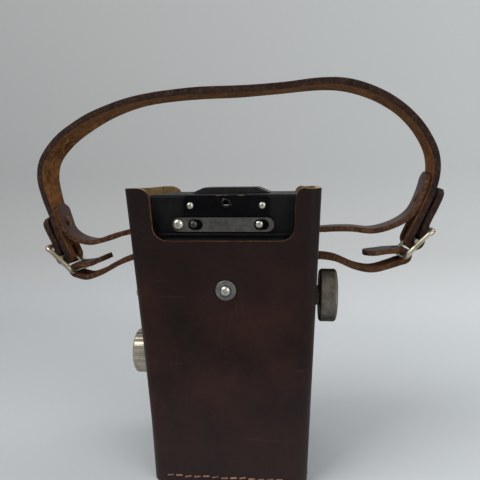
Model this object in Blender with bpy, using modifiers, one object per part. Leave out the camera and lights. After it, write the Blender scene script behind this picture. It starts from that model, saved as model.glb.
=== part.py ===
"""Stereo roll-film camera in its leather half case, with the carrying strap.

Metres, +Z up. The origin is the middle of the underside of the case. The camera's
back faces -Y, its lenses face +Y, and the winding knob is on the +X side.
"""
import math

import bmesh
import bpy
from mathutils import Matrix, Vector

# ---- clearances -------------------------------------------------------------------
GAP = 0.0003                 # between pieces that touch
RUN = 0.0004                 # round a turning or sliding shaft
OVERCUT = 0.002              # how far a cutter runs past the face it cuts

# ---- leather half case ------------------------------------------------------------
CASE_WIDTH_TOP = 0.085
CASE_WIDTH_BOTTOM = 0.078
CASE_DEPTH = 0.068
CASE_HEIGHT = 0.147
CASE_CORNER = 0.0055
LEATHER = 0.0024
EAR_WIDTH = 0.0112           # leather left each side of the notch in the back
NOTCH_DEPTH = 0.0235
NOTCH_CORNER = 0.006
EAR_CORNER = 0.0045
FRONT_WALL_HEIGHT = 0.024
FRONT_CORNER = 0.009

# ---- camera body ------------------------------------------------------------------
BODY_CLEARANCE = 0.0005      # between the body and the narrowest part of the case
BODY_TOP = 0.1438
BODY_BACK = -0.0274
BODY_FRONT = 0.0205
BODY_EDGE = 0.0012
DOOR_DEPTH = 0.0026
DOOR_WALL = 0.001
DOOR_WIDTH = 0.066
DOOR_LOW = 0.009
DOOR_TOP = 0.1268
DOOR_RIDGE = 0.0009          # radius of the two rolled ridges under the door's top
DOOR_RIDGE_WIDTH = 0.056
DOOR_RIDGE_PITCH = 0.0024
COVER_WALL = 0.0014
COVER_EDGE = 0.0028          # larger than the body's, to clear the case's corners
COVER_FRONT = 0.0312

# ---- film chambers ----------------------------------------------------------------
SPOOL_AXIS_Y = -0.013
TAKE_UP_Z = 0.0945
SUPPLY_Z = 0.0306
SPOOL_FLANGE = 0.0125
SPOOL_CORE = 0.0038
SPOOL_LENGTH = 0.0646
SPOOL_FLANGE_THICK = 0.0012
CHAMBER_RADIUS = 0.0134
CHAMBER_WIDTH = 0.0668
SHAFT_RADIUS = 0.0020
SUPPLY_PIN_LENGTH = 0.0068
SUPPLY_PIN_REACH = 0.004     # how far it stands into the chamber
FILM_BED_DEPTH = 0.0024
FILM_BAR_RADIUS = 0.0011
FILM_BAR_HALF = 0.0325
FILM_BAR_EDGE = 0.0003
FILM_BAR_OFFSET = 0.0052     # from the edge of a picture to the bar's axis


# ---- lenses and light box ---------------------------------------------------------
LENS_Z = 0.0626
STEREO_BASE = 0.032
FRAME_SIZE = 0.024
FRAME_SIDE_WALL = 0.0004
GATE_THICK = 0.0006
GATE_HALF_WIDTH = 0.0315
GATE_MARGIN = 0.003          # of the gate above and below a picture
GATE_REACH = 0.0013          # from the body's back face to the gate
PRESSURE_HALF_WIDTH = 0.031
PRESSURE_MARGIN = 0.0035
PRESSURE_THICK = 0.0009
SEPTUM_THICK = 0.001
BARREL_RADIUS = 0.0075
BARREL_BORE = 0.0058
BARREL_LENGTH = 0.0205
BARREL_TIP = 0.0308
BOARD_THICK = 0.002
BOARD_Y = 0.0224             # back face of the lens board with the lenses drawn in
BOARD_WIDTH = 0.0654
BOARD_HEIGHT = 0.044
APERTURE_RING_RADIUS = 0.0102
APERTURE_RING_WIDTH = 0.0028
LENS_GLASS_RADIUS = 0.0054
LENS_GLASS_THICK = 0.0024
STOP_RADIUS = 0.003
SHUTTER_Y = 0.007
SHUTTER_TRAVEL = 0.008

# ---- release lever on the front cover -----------------------------------------------
RELEASE_X = 0.0265
RELEASE_Z = 0.1000
RELEASE_THICK = 0.0013
RELEASE_ARM = 0.0150
RELEASE_HUB = 0.0034
RELEASE_TIP = 0.0024         # radius of the thumb end
RELEASE_TIP_RISE = 0.0010
RELEASE_STUD = 0.0012

# ---- small screws and pins -----------------------------------------------------------
SMALL_SHANK = 0.0009
GUIDE_SHANK = 0.0011
THUMB_SHANK = 0.0008
SCREW_REACH = 0.0042         # how deep the finder plate's screws go
GUIDE_REACH = 0.0035

# ---- winding side (+X) ------------------------------------------------------------
KNOB_RADIUS = 0.013
KNOB_END = 0.0518
KNOB_LENGTH = 0.0085
RATCHET_RADIUS = 0.0068
RATCHET_TEETH = 14
RATCHET_THICK = 0.0013
PAWL_PIVOT_ANGLE = math.radians(128)
PAWL_PIVOT_REACH = 0.0102

# ---- focusing side (-X) -----------------------------------------------------------
WHEEL_RADIUS = 0.0115
WHEEL_END = 0.0502
WHEEL_LENGTH = 0.0072
WHEEL_FLUTES = 20
WHEEL_FLUTE_RADIUS = 0.0007
FOCUS_AXIS_Y = -0.011
PINION_RADIUS = 0.0026
PINION_TEETH = 12
PULL_PIN_HEAD = 0.0028
PULL_PIN_END = 0.0489

# ---- finder and latch -------------------------------------------------------------
FINDER_Z = 0.1393
FINDER_WIDTH = 0.019
FINDER_HEIGHT = 0.0064
EYEPIECE_RADIUS = 0.0022
PLATE_WIDTH = 0.0388
PLATE_LOW = 0.1272
PLATE_THICK = 0.0009
PLATE_SCREW_RADIUS = 0.00155
PLATE_SCREW_X = 0.0164
PLATE_SCREW_Z = 0.1389
HOOD_BASE = 0.038
HOOD_TOP = 0.0255
HOOD_HEIGHT = 0.0026
HOOD_DEPTH = 0.026
HOOD_Y = 0.001
LATCH_LENGTH = 0.0464
LATCH_HEIGHT = 0.0064
LATCH_THICK = 0.0011
LATCH_Z = 0.1305
LATCH_SHIFT = -0.0015        # the bar rests left of centre
LATCH_SLOT_LENGTH = 0.0068
LATCH_SLOT_HEIGHT = 0.0048
LATCH_SLOT_X = 0.0150
LATCH_PIN_RADIUS = 0.0020
LATCH_TRAVEL = 0.0022
THUMB_RADIUS = 0.0024

# ---- case fasteners ---------------------------------------------------------------
CASE_SCREW_Z = 0.101
CASE_SCREW_HEAD = 0.0025
CASE_WASHER_RADIUS = 0.0047
CASE_WASHER_THICK = 0.0009
CASE_SCREW_SHANK = 0.0014
CASE_SCREW_HEIGHT = 0.0018
TRIPOD_BUSH_RADIUS = 0.0055
TRIPOD_BORE = 0.0031
TRIPOD_Y = 0.012

# ---- carrying strap ---------------------------------------------------------------
STRAP_THICK = 0.0028
STRAP_WIDTH = 0.0155
TAB_THICK = 0.0020
TAB_WIDTH = 0.0130
BUCKLE_WIRE = 0.0011
BUCKLE_WIDTH = 0.0204
BUCKLE_HALF_LENGTH = 0.009
PRONG_WIRE = 0.0008
PRONG_SLOT_REACH = 0.0065    # how far the tongue's slot reaches, for the prong to lift
RIVET_RADIUS = 0.0028
RIVET_HEAD = 0.0007
RIVET_SHANK = 0.0011
RIVET_SLACK = 0.00045         # under each head, where the leathers curve
SLOT_Z_UPPER = 0.1258
SLOT_Z_LOWER = 0.1124
SLOT_CLEARANCE = 0.0007

SMOOTH_ANGLE = math.radians(35)

BODY_HALF = CASE_WIDTH_BOTTOM / 2 - LEATHER - BODY_CLEARANCE
BODY_LOW = LEATHER + GAP
LENS_X = STEREO_BASE / 2
LIGHT_BOX_HALF = LENS_X + FRAME_SIZE / 2 + FRAME_SIDE_WALL
PLATE_BACK = BODY_BACK - GAP
PLATE_FACE = PLATE_BACK - PLATE_THICK
DOOR_BACK = BODY_BACK - GAP - DOOR_DEPTH

parts = None
cutters = None


# ---- helpers ----------------------------------------------------------------------
def clear_scene():
    """Empty the file and make the two collections."""
    global parts, cutters
    for old in list(bpy.data.objects):
        bpy.data.objects.remove(old, do_unlink=True)
    parts = bpy.data.collections.new("stereo_camera")
    cutters = bpy.data.collections.new("cutters")
    for group in (parts, cutters):
        bpy.context.scene.collection.children.link(group)


def material(name, colour, roughness, metallic=0.0):
    made = bpy.data.materials.get(name) or bpy.data.materials.new(name)
    made.use_nodes = True
    shader = made.node_tree.nodes["Principled BSDF"]
    shader.inputs["Base Color"].default_value = (*colour, 1.0)
    shader.inputs["Roughness"].default_value = roughness
    shader.inputs["Metallic"].default_value = metallic
    return made


FINISHES = {
    "case_leather": ((0.030, 0.012, 0.009), 0.45, 0.0),
    "strap_leather": ((0.060, 0.024, 0.015), 0.55, 0.0),
    "black_paint": ((0.012, 0.012, 0.014), 0.30, 0.0),
    "nickel": ((0.55, 0.53, 0.48), 0.30, 1.0),
    "zinc": ((0.42, 0.44, 0.40), 0.40, 1.0),
    "gunmetal": ((0.13, 0.125, 0.115), 0.42, 1.0),
    "brass": ((0.60, 0.42, 0.18), 0.35, 1.0),
    "blackened": ((0.02, 0.02, 0.02), 0.60, 0.4),
    "glass": ((0.50, 0.58, 0.62), 0.05, 0.0),
    "bakelite": ((0.02, 0.018, 0.016), 0.35, 0.0),
}


def finish(obj, look, rigid_cutter=False):
    """Put a piece in its collection with its finish and smooth round faces."""
    group = cutters if rigid_cutter else parts
    group.objects.link(obj)
    if rigid_cutter:
        obj.hide_render = True
        obj.display_type = "WIRE"
        return obj
    obj.data.materials.append(material(look, *FINISHES[look]))
    if obj.type == "MESH":
        obj.data.shade_smooth()
        obj.data.set_sharp_from_angle(angle=SMOOTH_ANGLE)
    return obj


def from_bmesh(name, shape, origin=(0, 0, 0)):
    """Make an object whose mesh was built in world places, with its own origin."""
    bmesh.ops.translate(shape, verts=shape.verts, vec=-Vector(origin))
    mesh = bpy.data.meshes.new(name)
    shape.to_mesh(mesh)
    shape.free()
    obj = bpy.data.objects.new(name, mesh)
    obj.location = origin
    return obj


def box(name, low, high, look=None, edge=0.0, origin=(0, 0, 0)):
    """A block between two corners, with rounded edges; with no look it is a cutter."""
    shape = bmesh.new()
    bmesh.ops.create_cube(shape, size=1.0)
    size = [h - l for l, h in zip(low, high)]
    middle = [(h + l) / 2 for l, h in zip(low, high)]
    bmesh.ops.scale(shape, verts=shape.verts, vec=size)
    bmesh.ops.translate(shape, verts=shape.verts, vec=middle)
    if edge:
        bmesh.ops.bevel(shape, geom=shape.edges[:], offset=edge, segments=2,
                        profile=0.5, affect="EDGES")
    return finish(from_bmesh(name, shape, origin), look, look is None)


AXES = {"X": Matrix.Rotation(math.pi / 2, 3, "Y"), "-X": Matrix.Rotation(-math.pi / 2, 3, "Y"),
        "Y": Matrix.Rotation(-math.pi / 2, 3, "X"), "-Y": Matrix.Rotation(math.pi / 2, 3, "X"),
        "Z": Matrix.Identity(3)}


def rod(name, axis, start, length, radius, look=None, sides=28):
    """A cylinder from start along an axis; with no look it is a cutter."""
    shape = bmesh.new()
    bmesh.ops.create_cone(shape, cap_ends=True, segments=sides, radius1=radius,
                          radius2=radius, depth=length)
    bmesh.ops.translate(shape, verts=shape.verts, vec=(0, 0, length / 2))
    mesh = bpy.data.meshes.new(name)
    shape.to_mesh(mesh)
    shape.free()
    obj = bpy.data.objects.new(name, mesh)
    obj.rotation_euler = AXES[axis].to_euler()
    obj.location = start
    return finish(obj, look, look is None)


def turned(name, axis, start, profile, look=None, steps=40, closed=False):
    """A turned shape: (radius, height) down the outer side, spun about an axis."""
    mesh = bpy.data.meshes.new(name)
    edges = [(i, i + 1) for i in range(len(profile) - 1)]
    if closed:
        edges.append((len(profile) - 1, 0))
    mesh.from_pydata([(r, 0, h) for r, h in profile], edges, [])
    obj = bpy.data.objects.new(name, mesh)
    obj.rotation_euler = AXES[axis].to_euler()
    obj.location = start
    spin = obj.modifiers.new("turn", "SCREW")
    spin.steps = spin.render_steps = steps
    spin.use_merge_vertices = True
    spin.merge_threshold = 0.00001
    spin.use_smooth_shade = True
    return finish(obj, look, look is None)


def arc(centre, radius, start, end, count=6):
    """Points round a centre from one angle to another, in degrees."""
    turn = [math.radians(start + (end - start) * i / count) for i in range(count + 1)]
    return [(centre[0] + radius * math.cos(a), centre[1] + radius * math.sin(a)) for a in turn]


def stadium(x, z, length, height):
    """A slot with round ends."""
    r = height / 2
    reach = length / 2 - r
    return arc((x + reach, z), r, -90, 90, 10) + arc((x - reach, z), r, 90, 270, 10)


def ring_outline(x, z, radius, count=28):
    return arc((x, z), radius, 0, 360 * (count - 1) / count, count - 1)


def rounded(x0, z0, x1, z1, r, count=5):
    """A rectangle with round corners."""
    return (arc((x1 - r, z1 - r), r, 0, 90, count) + arc((x0 + r, z1 - r), r, 90, 180, count)
            + arc((x0 + r, z0 + r), r, 180, 270, count) + arc((x1 - r, z0 + r), r, 270, 360, count))


def outline(name, facing, loops, near, far, look=None, origin=(0, 0, 0)):
    """A flat outline with holes, given depth from near to far along its facing.

    Facing Y takes (x, z) points and facing X takes (y, z) points.
    """
    curve = bpy.data.curves.new(name, "CURVE")
    curve.dimensions = "2D"
    curve.fill_mode = "BOTH"
    curve.extrude = (far - near) / 2
    for loop in loops:
        spline = curve.splines.new("POLY")
        spline.points.add(len(loop) - 1)
        for point, (a, b) in zip(spline.points, loop):
            point.co = (a, b, 0, 1)
        spline.use_cyclic_u = True
    flat = bpy.data.objects.new(name + "_outline", curve)
    bpy.context.scene.collection.objects.link(flat)
    solid = bpy.data.meshes.new_from_object(
        flat.evaluated_get(bpy.context.evaluated_depsgraph_get()))
    bpy.data.objects.remove(flat, do_unlink=True)
    shape = bmesh.new()
    shape.from_mesh(solid)
    bmesh.ops.remove_doubles(shape, verts=shape.verts, dist=0.000001)
    middle = (near + far) / 2
    if facing == "Y":
        place = Matrix(((1, 0, 0, 0), (0, 0, -1, middle), (0, 1, 0, 0), (0, 0, 0, 1)))
    else:
        place = Matrix(((0, 0, 1, middle), (1, 0, 0, 0), (0, 1, 0, 0), (0, 0, 0, 1)))
    bmesh.ops.transform(shape, matrix=place, verts=shape.verts)
    return finish(from_bmesh(name, shape, origin), look, look is None)


def cut(target, *tools):
    for tool in tools:
        change = target.modifiers.new("cut_" + tool.name, "BOOLEAN")
        change.operation = "DIFFERENCE"
        change.object = tool
    return target


def join(target, *extras):
    """Union other shapes, made as cutters, into a piece."""
    for extra in extras:
        change = target.modifiers.new("join_" + extra.name, "BOOLEAN")
        change.operation = "UNION"
        change.object = extra
    return target


def smooth_path(points, steps=5):
    """A smooth curve through the given points."""
    padded = [points[0]] + list(points) + [points[-1]]
    route = []
    for a, b, c, d in zip(padded, padded[1:], padded[2:], padded[3:]):
        for step in range(steps):
            t = step / steps
            route.append(tuple(
                0.5 * (2 * q + (r - p) * t + (2 * p - 5 * q + 4 * r - s) * t * t
                       + (3 * q - p - 3 * r + s) * t ** 3)
                for p, q, r, s in zip(a, b, c, d)))
    route.append(tuple(points[-1]))
    return route


def ribbon(name, route, thick, width, look, origin=(0, 0, 0)):
    """A flat strap that follows a route in the XZ plane."""
    upper = []
    lower = []
    for i, (x, z) in enumerate(route):
        before = route[max(i - 1, 0)]
        after = route[min(i + 1, len(route) - 1)]
        run = math.hypot(after[0] - before[0], after[1] - before[1])
        nx = -(after[1] - before[1]) / run * thick / 2
        nz = (after[0] - before[0]) / run * thick / 2
        upper.append((x + nx, z + nz))
        lower.append((x - nx, z - nz))
    return outline(name, "Y", [upper + lower[::-1]], -width / 2, width / 2, look, origin)


# ---- leather case -----------------------------------------------------------------
def case_half(z):
    """Half the outer width of the case at a height."""
    return (CASE_WIDTH_BOTTOM + (CASE_WIDTH_TOP - CASE_WIDTH_BOTTOM) * z / CASE_HEIGHT) / 2


def tapered_block(name, inset, low, high, corner, look=None):
    """A block with round upright corners that follows the taper of the case."""
    shape = bmesh.new()
    bmesh.ops.create_cube(shape, size=1.0)
    half_depth = CASE_DEPTH / 2 - inset
    half_width = CASE_WIDTH_TOP / 2 - inset
    bmesh.ops.scale(shape, verts=shape.verts, vec=(2 * half_width, 2 * half_depth, high - low))
    bmesh.ops.translate(shape, verts=shape.verts, vec=(0, 0, (low + high) / 2))
    upright = [e for e in shape.edges if abs(e.verts[0].co.z - e.verts[1].co.z) > 0.001]
    bmesh.ops.bevel(shape, geom=upright, offset=corner, segments=5, profile=0.5,
                    affect="EDGES")
    for vert in shape.verts:
        vert.co.x -= math.copysign(CASE_WIDTH_TOP / 2 - case_half(vert.co.z), vert.co.x)
    return finish(from_bmesh(name, shape), look, look is None)


def notch_outline(floor, corner):
    """The open-topped notch between two ears, with the ears' inner tops rounded."""
    half = CASE_WIDTH_TOP / 2 - EAR_WIDTH
    top = CASE_HEIGHT
    over = top + OVERCUT
    right = [(half + EAR_CORNER, over)] + arc((half + EAR_CORNER, top - EAR_CORNER), EAR_CORNER,
                                              90, 180, 6)
    right += arc((half - corner, floor + corner), corner, 0, -90, 7)
    left = [(-x, z) for x, z in reversed(right)]
    return right + left


def build_case():
    wrap = tapered_block("case_wrap", 0, 0, CASE_HEIGHT, CASE_CORNER, "case_leather")
    hollow = tapered_block("case_hollow", LEATHER, -OVERCUT, CASE_HEIGHT + OVERCUT,
                           CASE_CORNER - LEATHER)
    half_depth = CASE_DEPTH / 2
    back_notch = outline("case_back_notch", "Y",
                         [notch_outline(CASE_HEIGHT - NOTCH_DEPTH, NOTCH_CORNER)],
                         -half_depth - OVERCUT, -half_depth + LEATHER + OVERCUT)
    front_notch = outline("case_front_notch", "Y",
                          [notch_outline(FRONT_WALL_HEIGHT, FRONT_CORNER)],
                          half_depth - LEATHER - OVERCUT, half_depth + OVERCUT)
    reach = CASE_WIDTH_TOP / 2 + OVERCUT
    inside = CASE_WIDTH_BOTTOM / 2 - LEATHER - OVERCUT
    knob_hole = rod("case_knob_hole", "X", (inside, SPOOL_AXIS_Y, TAKE_UP_Z),
                    reach - inside, KNOB_RADIUS + 0.0012)
    wheel_hole = rod("case_wheel_hole", "-X", (-inside, FOCUS_AXIS_Y, LENS_Z),
                     reach - inside, WHEEL_RADIUS + 0.0012)
    pin_hole = rod("case_pin_hole", "-X", (-inside, SPOOL_AXIS_Y, TAKE_UP_Z),
                   reach - inside, PULL_PIN_HEAD + 0.0006)
    screw_hole = rod("case_screw_hole", "-Y", (0, -half_depth + LEATHER + OVERCUT, CASE_SCREW_Z),
                     LEATHER + 2 * OVERCUT, CASE_SCREW_SHANK + RUN)
    slots = []
    for label, z in (("upper", SLOT_Z_UPPER), ("lower", SLOT_Z_LOWER)):
        for side, sign in (("left", -1), ("right", 1)):
            ends = sorted((sign * inside, sign * reach))
            half_slot = TAB_WIDTH / 2 + SLOT_CLEARANCE
            high = TAB_THICK / 2 + SLOT_CLEARANCE
            slots.append(box("case_slot_%s_%s" % (label, side), (ends[0], -half_slot, z - high),
                             (ends[1], half_slot, z + high)))
    cut(wrap, hollow, back_notch, front_notch, knob_hole, wheel_hole, pin_hole, screw_hole,
        *slots)
    bottom = tapered_block("case_bottom", LEATHER + GAP, 0, LEATHER, CASE_CORNER - LEATHER,
                           "case_leather")
    tripod_hole = rod("case_tripod_hole", "Z", (0, TRIPOD_Y, -OVERCUT), LEATHER + 2 * OVERCUT,
                      TRIPOD_BUSH_RADIUS)
    cut(bottom, tripod_hole)


def build_case_fasteners():
    face = -CASE_DEPTH / 2
    washer_thick = CASE_WASHER_THICK
    turned("case_washer", "-Y", (0, face - GAP, CASE_SCREW_Z),
           [(CASE_WASHER_RADIUS - 0.0005, washer_thick), (CASE_WASHER_RADIUS, washer_thick - 0.0004),
            (CASE_WASHER_RADIUS, 0), (CASE_SCREW_SHANK + GAP, 0),
            (CASE_SCREW_SHANK + GAP, washer_thick)], "zinc", 24, closed=True)
    seat = face - GAP - washer_thick - GAP
    inner_face = -CASE_DEPTH / 2 + LEATHER
    shank = seat - inner_face
    head = CASE_SCREW_HEIGHT
    screw = turned("case_screw", "-Y", (0, seat, CASE_SCREW_Z),
                   [(0, head), (CASE_SCREW_HEAD * 0.55, head - 0.0002),
                    (CASE_SCREW_HEAD, head - 0.0010), (CASE_SCREW_HEAD, 0),
                    (CASE_SCREW_SHANK, 0), (CASE_SCREW_SHANK, shank), (0, shank)],
                   "nickel", 28)
    for i, (wide, tall) in enumerate(((0.0006, 0.003), (0.003, 0.0006))):
        cut(screw, box("case_screw_cross_%d" % i,
                       (-wide / 2, seat - head - OVERCUT, CASE_SCREW_Z - tall / 2),
                       (wide / 2, seat - head + 0.0007, CASE_SCREW_Z + tall / 2)))
    nut_thick = 0.0006
    turned("case_screw_plate", "Y", (0, inner_face + GAP, CASE_SCREW_Z),
           [(0, nut_thick), (0.004, nut_thick), (0.004, 0), (0, 0)], "zinc", 24)


# ---- camera body ------------------------------------------------------------------
def build_body():
    shell = box("body_shell", (-BODY_HALF, BODY_BACK, BODY_LOW), (BODY_HALF, BODY_FRONT, BODY_TOP),
                "black_paint", BODY_EDGE)
    tools = []
    for label, z in (("take_up", TAKE_UP_Z), ("supply", SUPPLY_Z)):
        tools.append(rod("chamber_" + label, "X", (-CHAMBER_WIDTH / 2, SPOOL_AXIS_Y, z),
                         CHAMBER_WIDTH, CHAMBER_RADIUS, sides=40))
        tools.append(box("chamber_mouth_" + label,
                         (-CHAMBER_WIDTH / 2, BODY_BACK - OVERCUT, z - CHAMBER_RADIUS + 0.0002),
                         (CHAMBER_WIDTH / 2, SPOOL_AXIS_Y, z + CHAMBER_RADIUS - 0.0002)))
    half_frame = FRAME_SIZE / 2 + FRAME_SIDE_WALL
    tools.append(box("light_box", (-LIGHT_BOX_HALF, BODY_BACK - OVERCUT, LENS_Z - half_frame),
                     (LIGHT_BOX_HALF, BODY_FRONT + OVERCUT, LENS_Z + half_frame)))
    tools.append(box("film_bed", (-CHAMBER_WIDTH / 2 + 0.0001, BODY_BACK - OVERCUT, SUPPLY_Z),
                     (CHAMBER_WIDTH / 2 - 0.0001, BODY_BACK + FILM_BED_DEPTH, TAKE_UP_Z)))
    tools.append(box("shutter_pocket", (-LIGHT_BOX_HALF - 0.0042, SHUTTER_Y + 0.0008,
                                        LENS_Z - 0.0085),
                     (LIGHT_BOX_HALF + 0.0042, SHUTTER_Y + 0.0024, LENS_Z + 0.0085)))
    tools.append(box("rack_way", (-LIGHT_BOX_HALF - 0.0052, FOCUS_AXIS_Y - 0.0042,
                                  LENS_Z - PINION_RADIUS - 0.0012),
                     (-LIGHT_BOX_HALF - 0.0007, BODY_FRONT + OVERCUT, LENS_Z + 0.0074)))
    tools.append(rod("focus_shaft_hole", "-X", (-LIGHT_BOX_HALF - 0.003, FOCUS_AXIS_Y, LENS_Z),
                     0.01, SHAFT_RADIUS + RUN))
    tools.append(rod("winding_shaft_hole", "X", (CHAMBER_WIDTH / 2 - 0.001, SPOOL_AXIS_Y, TAKE_UP_Z),
                     0.006, SHAFT_RADIUS + RUN))
    tools.append(rod("pull_pin_hole", "-X", (-CHAMBER_WIDTH / 2 + 0.001, SPOOL_AXIS_Y, TAKE_UP_Z),
                     0.006, SHAFT_RADIUS + RUN))
    for sign, axis, side in ((1, "X", "right"), (-1, "-X", "left")):
        tools.append(rod("supply_pin_hole_" + side, axis,
                         (sign * (CHAMBER_WIDTH / 2 - 0.001), SPOOL_AXIS_Y, SUPPLY_Z),
                         0.006, SHAFT_RADIUS + GAP))
    tools.append(box("finder_tunnel", (-FINDER_WIDTH / 2, BODY_BACK - OVERCUT,
                                       FINDER_Z - FINDER_HEIGHT / 2),
                     (FINDER_WIDTH / 2, BODY_FRONT + OVERCUT, FINDER_Z + FINDER_HEIGHT / 2)))
    tools.append(box("top_lightening", (-BODY_HALF + 0.003, BODY_BACK + 0.004, TAKE_UP_Z + 0.0175),
                     (BODY_HALF - 0.003, BODY_FRONT + OVERCUT, FINDER_Z - FINDER_HEIGHT / 2 - 0.002)))
    tools.append(rod("tripod_hole", "Z", (0, TRIPOD_Y, BODY_LOW - OVERCUT), 0.0065 + OVERCUT,
                     TRIPOD_BUSH_RADIUS - 0.0004))
    for i, x in enumerate((-PLATE_SCREW_X, PLATE_SCREW_X)):
        tools.append(rod("plate_screw_hole_%d" % i, "Y", (x, BODY_BACK - OVERCUT, PLATE_SCREW_Z),
                         SCREW_REACH + OVERCUT, SMALL_SHANK + GAP, sides=16))
    for i, x in enumerate((-LATCH_SLOT_X, LATCH_SLOT_X)):
        tools.append(rod("latch_pin_hole_%d" % i, "Y", (x, BODY_BACK - OVERCUT, LATCH_Z),
                         GUIDE_REACH + OVERCUT, GUIDE_SHANK + GAP, sides=16))
    cut(shell, *tools)
    turned("tripod_bush", "Z", (0, TRIPOD_Y, BODY_LOW),
           [(TRIPOD_BUSH_RADIUS - 0.0007, 0.0055), (TRIPOD_BUSH_RADIUS - 0.0007, 0),
            (TRIPOD_BORE, 0), (TRIPOD_BORE, 0.0055)], "brass", 32, closed=True)


def build_front_cover():
    """The pressed front, open behind, with the lens window and the finder window."""
    low = (-BODY_HALF, BODY_FRONT + GAP, BODY_LOW)
    high = (BODY_HALF, COVER_FRONT, BODY_TOP)
    cover = box("front_cover", low, high, "black_paint", COVER_EDGE)
    inside = box("cover_hollow",
                 (low[0] + COVER_WALL, low[1] - OVERCUT, low[2] + COVER_WALL),
                 (high[0] - COVER_WALL, high[1] - COVER_WALL, high[2] - COVER_WALL))
    half_x = BOARD_WIDTH / 2 + 0.0004
    half_z = BOARD_HEIGHT / 2 + 0.0006
    window = outline("lens_window", "Y",
                     [rounded(-half_x, LENS_Z - half_z, half_x, LENS_Z + half_z, 0.004)],
                     COVER_FRONT - COVER_WALL - OVERCUT, COVER_FRONT + OVERCUT)
    finder = outline("finder_front_hole", "Y",
                     [rounded(-FINDER_WIDTH / 2, FINDER_Z - FINDER_HEIGHT / 2, FINDER_WIDTH / 2,
                              FINDER_Z + FINDER_HEIGHT / 2, 0.001)],
                     COVER_FRONT - COVER_WALL - OVERCUT, COVER_FRONT + OVERCUT)
    lever_hole = rod("release_pivot_hole", "Y", (RELEASE_X, COVER_FRONT - 0.006, RELEASE_Z),
                     0.008, RELEASE_STUD + RUN, sides=20)
    cut(cover, inside, window, finder, lever_hole)
    half_glass = FINDER_HEIGHT / 2 - GAP
    outline("finder_window", "Y",
            [rounded(-FINDER_WIDTH / 2 + GAP, FINDER_Z - half_glass, FINDER_WIDTH / 2 - GAP,
                     FINDER_Z + half_glass, 0.0008)],
            COVER_FRONT - 0.0012, COVER_FRONT - 0.0002, "glass")


def build_release():
    """The release lever turns on the front cover and draws the shutter blade across."""
    near = COVER_FRONT + GAP
    reach = RELEASE_X - RELEASE_ARM
    arm = (arc((RELEASE_X, RELEASE_Z), RELEASE_HUB, -60, 90, 8)
           + arc((reach, RELEASE_Z + RELEASE_TIP_RISE), RELEASE_TIP, 90, 270, 8))
    lever = outline("release_lever", "Y", [arm], near, near + RELEASE_THICK, "nickel",
                    origin=(RELEASE_X, near, RELEASE_Z))
    stud = rod("release_stud", "Y", (RELEASE_X, COVER_FRONT - 0.004, RELEASE_Z), 0.0052,
               RELEASE_STUD, sides=20)
    join(lever, stud)


# ---- back door and pressure plate ---------------------------------------------------
def build_back_door():
    half = DOOR_WIDTH / 2
    door = box("back_door", (-half, DOOR_BACK, DOOR_LOW), (half, BODY_BACK - GAP, DOOR_TOP),
               "black_paint", 0.0007)
    hollow = box("door_hollow", (-half + DOOR_WALL, DOOR_BACK + DOOR_WALL, DOOR_LOW + DOOR_WALL),
                 (half - DOOR_WALL, BODY_BACK + OVERCUT, DOOR_TOP - DOOR_WALL))
    cut(door, hollow)
    for i in range(2):
        z = DOOR_TOP - DOOR_RIDGE - i * DOOR_RIDGE_PITCH
        ridge = rod("door_ridge_%d" % i, "X", (-DOOR_RIDGE_WIDTH / 2, DOOR_BACK + 0.0002, z),
                    DOOR_RIDGE_WIDTH, DOOR_RIDGE, sides=14)
        join(door, ridge)
    plate_low = LENS_Z - FRAME_SIZE / 2 - PRESSURE_MARGIN
    plate_high = LENS_Z + FRAME_SIZE / 2 + PRESSURE_MARGIN
    plate_back = BODY_BACK + 0.0002
    outline("pressure_plate", "Y",
            [rounded(-PRESSURE_HALF_WIDTH, plate_low, PRESSURE_HALF_WIDTH, plate_high, 0.002)],
            plate_back, plate_back + PRESSURE_THICK, "blackened")


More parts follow.
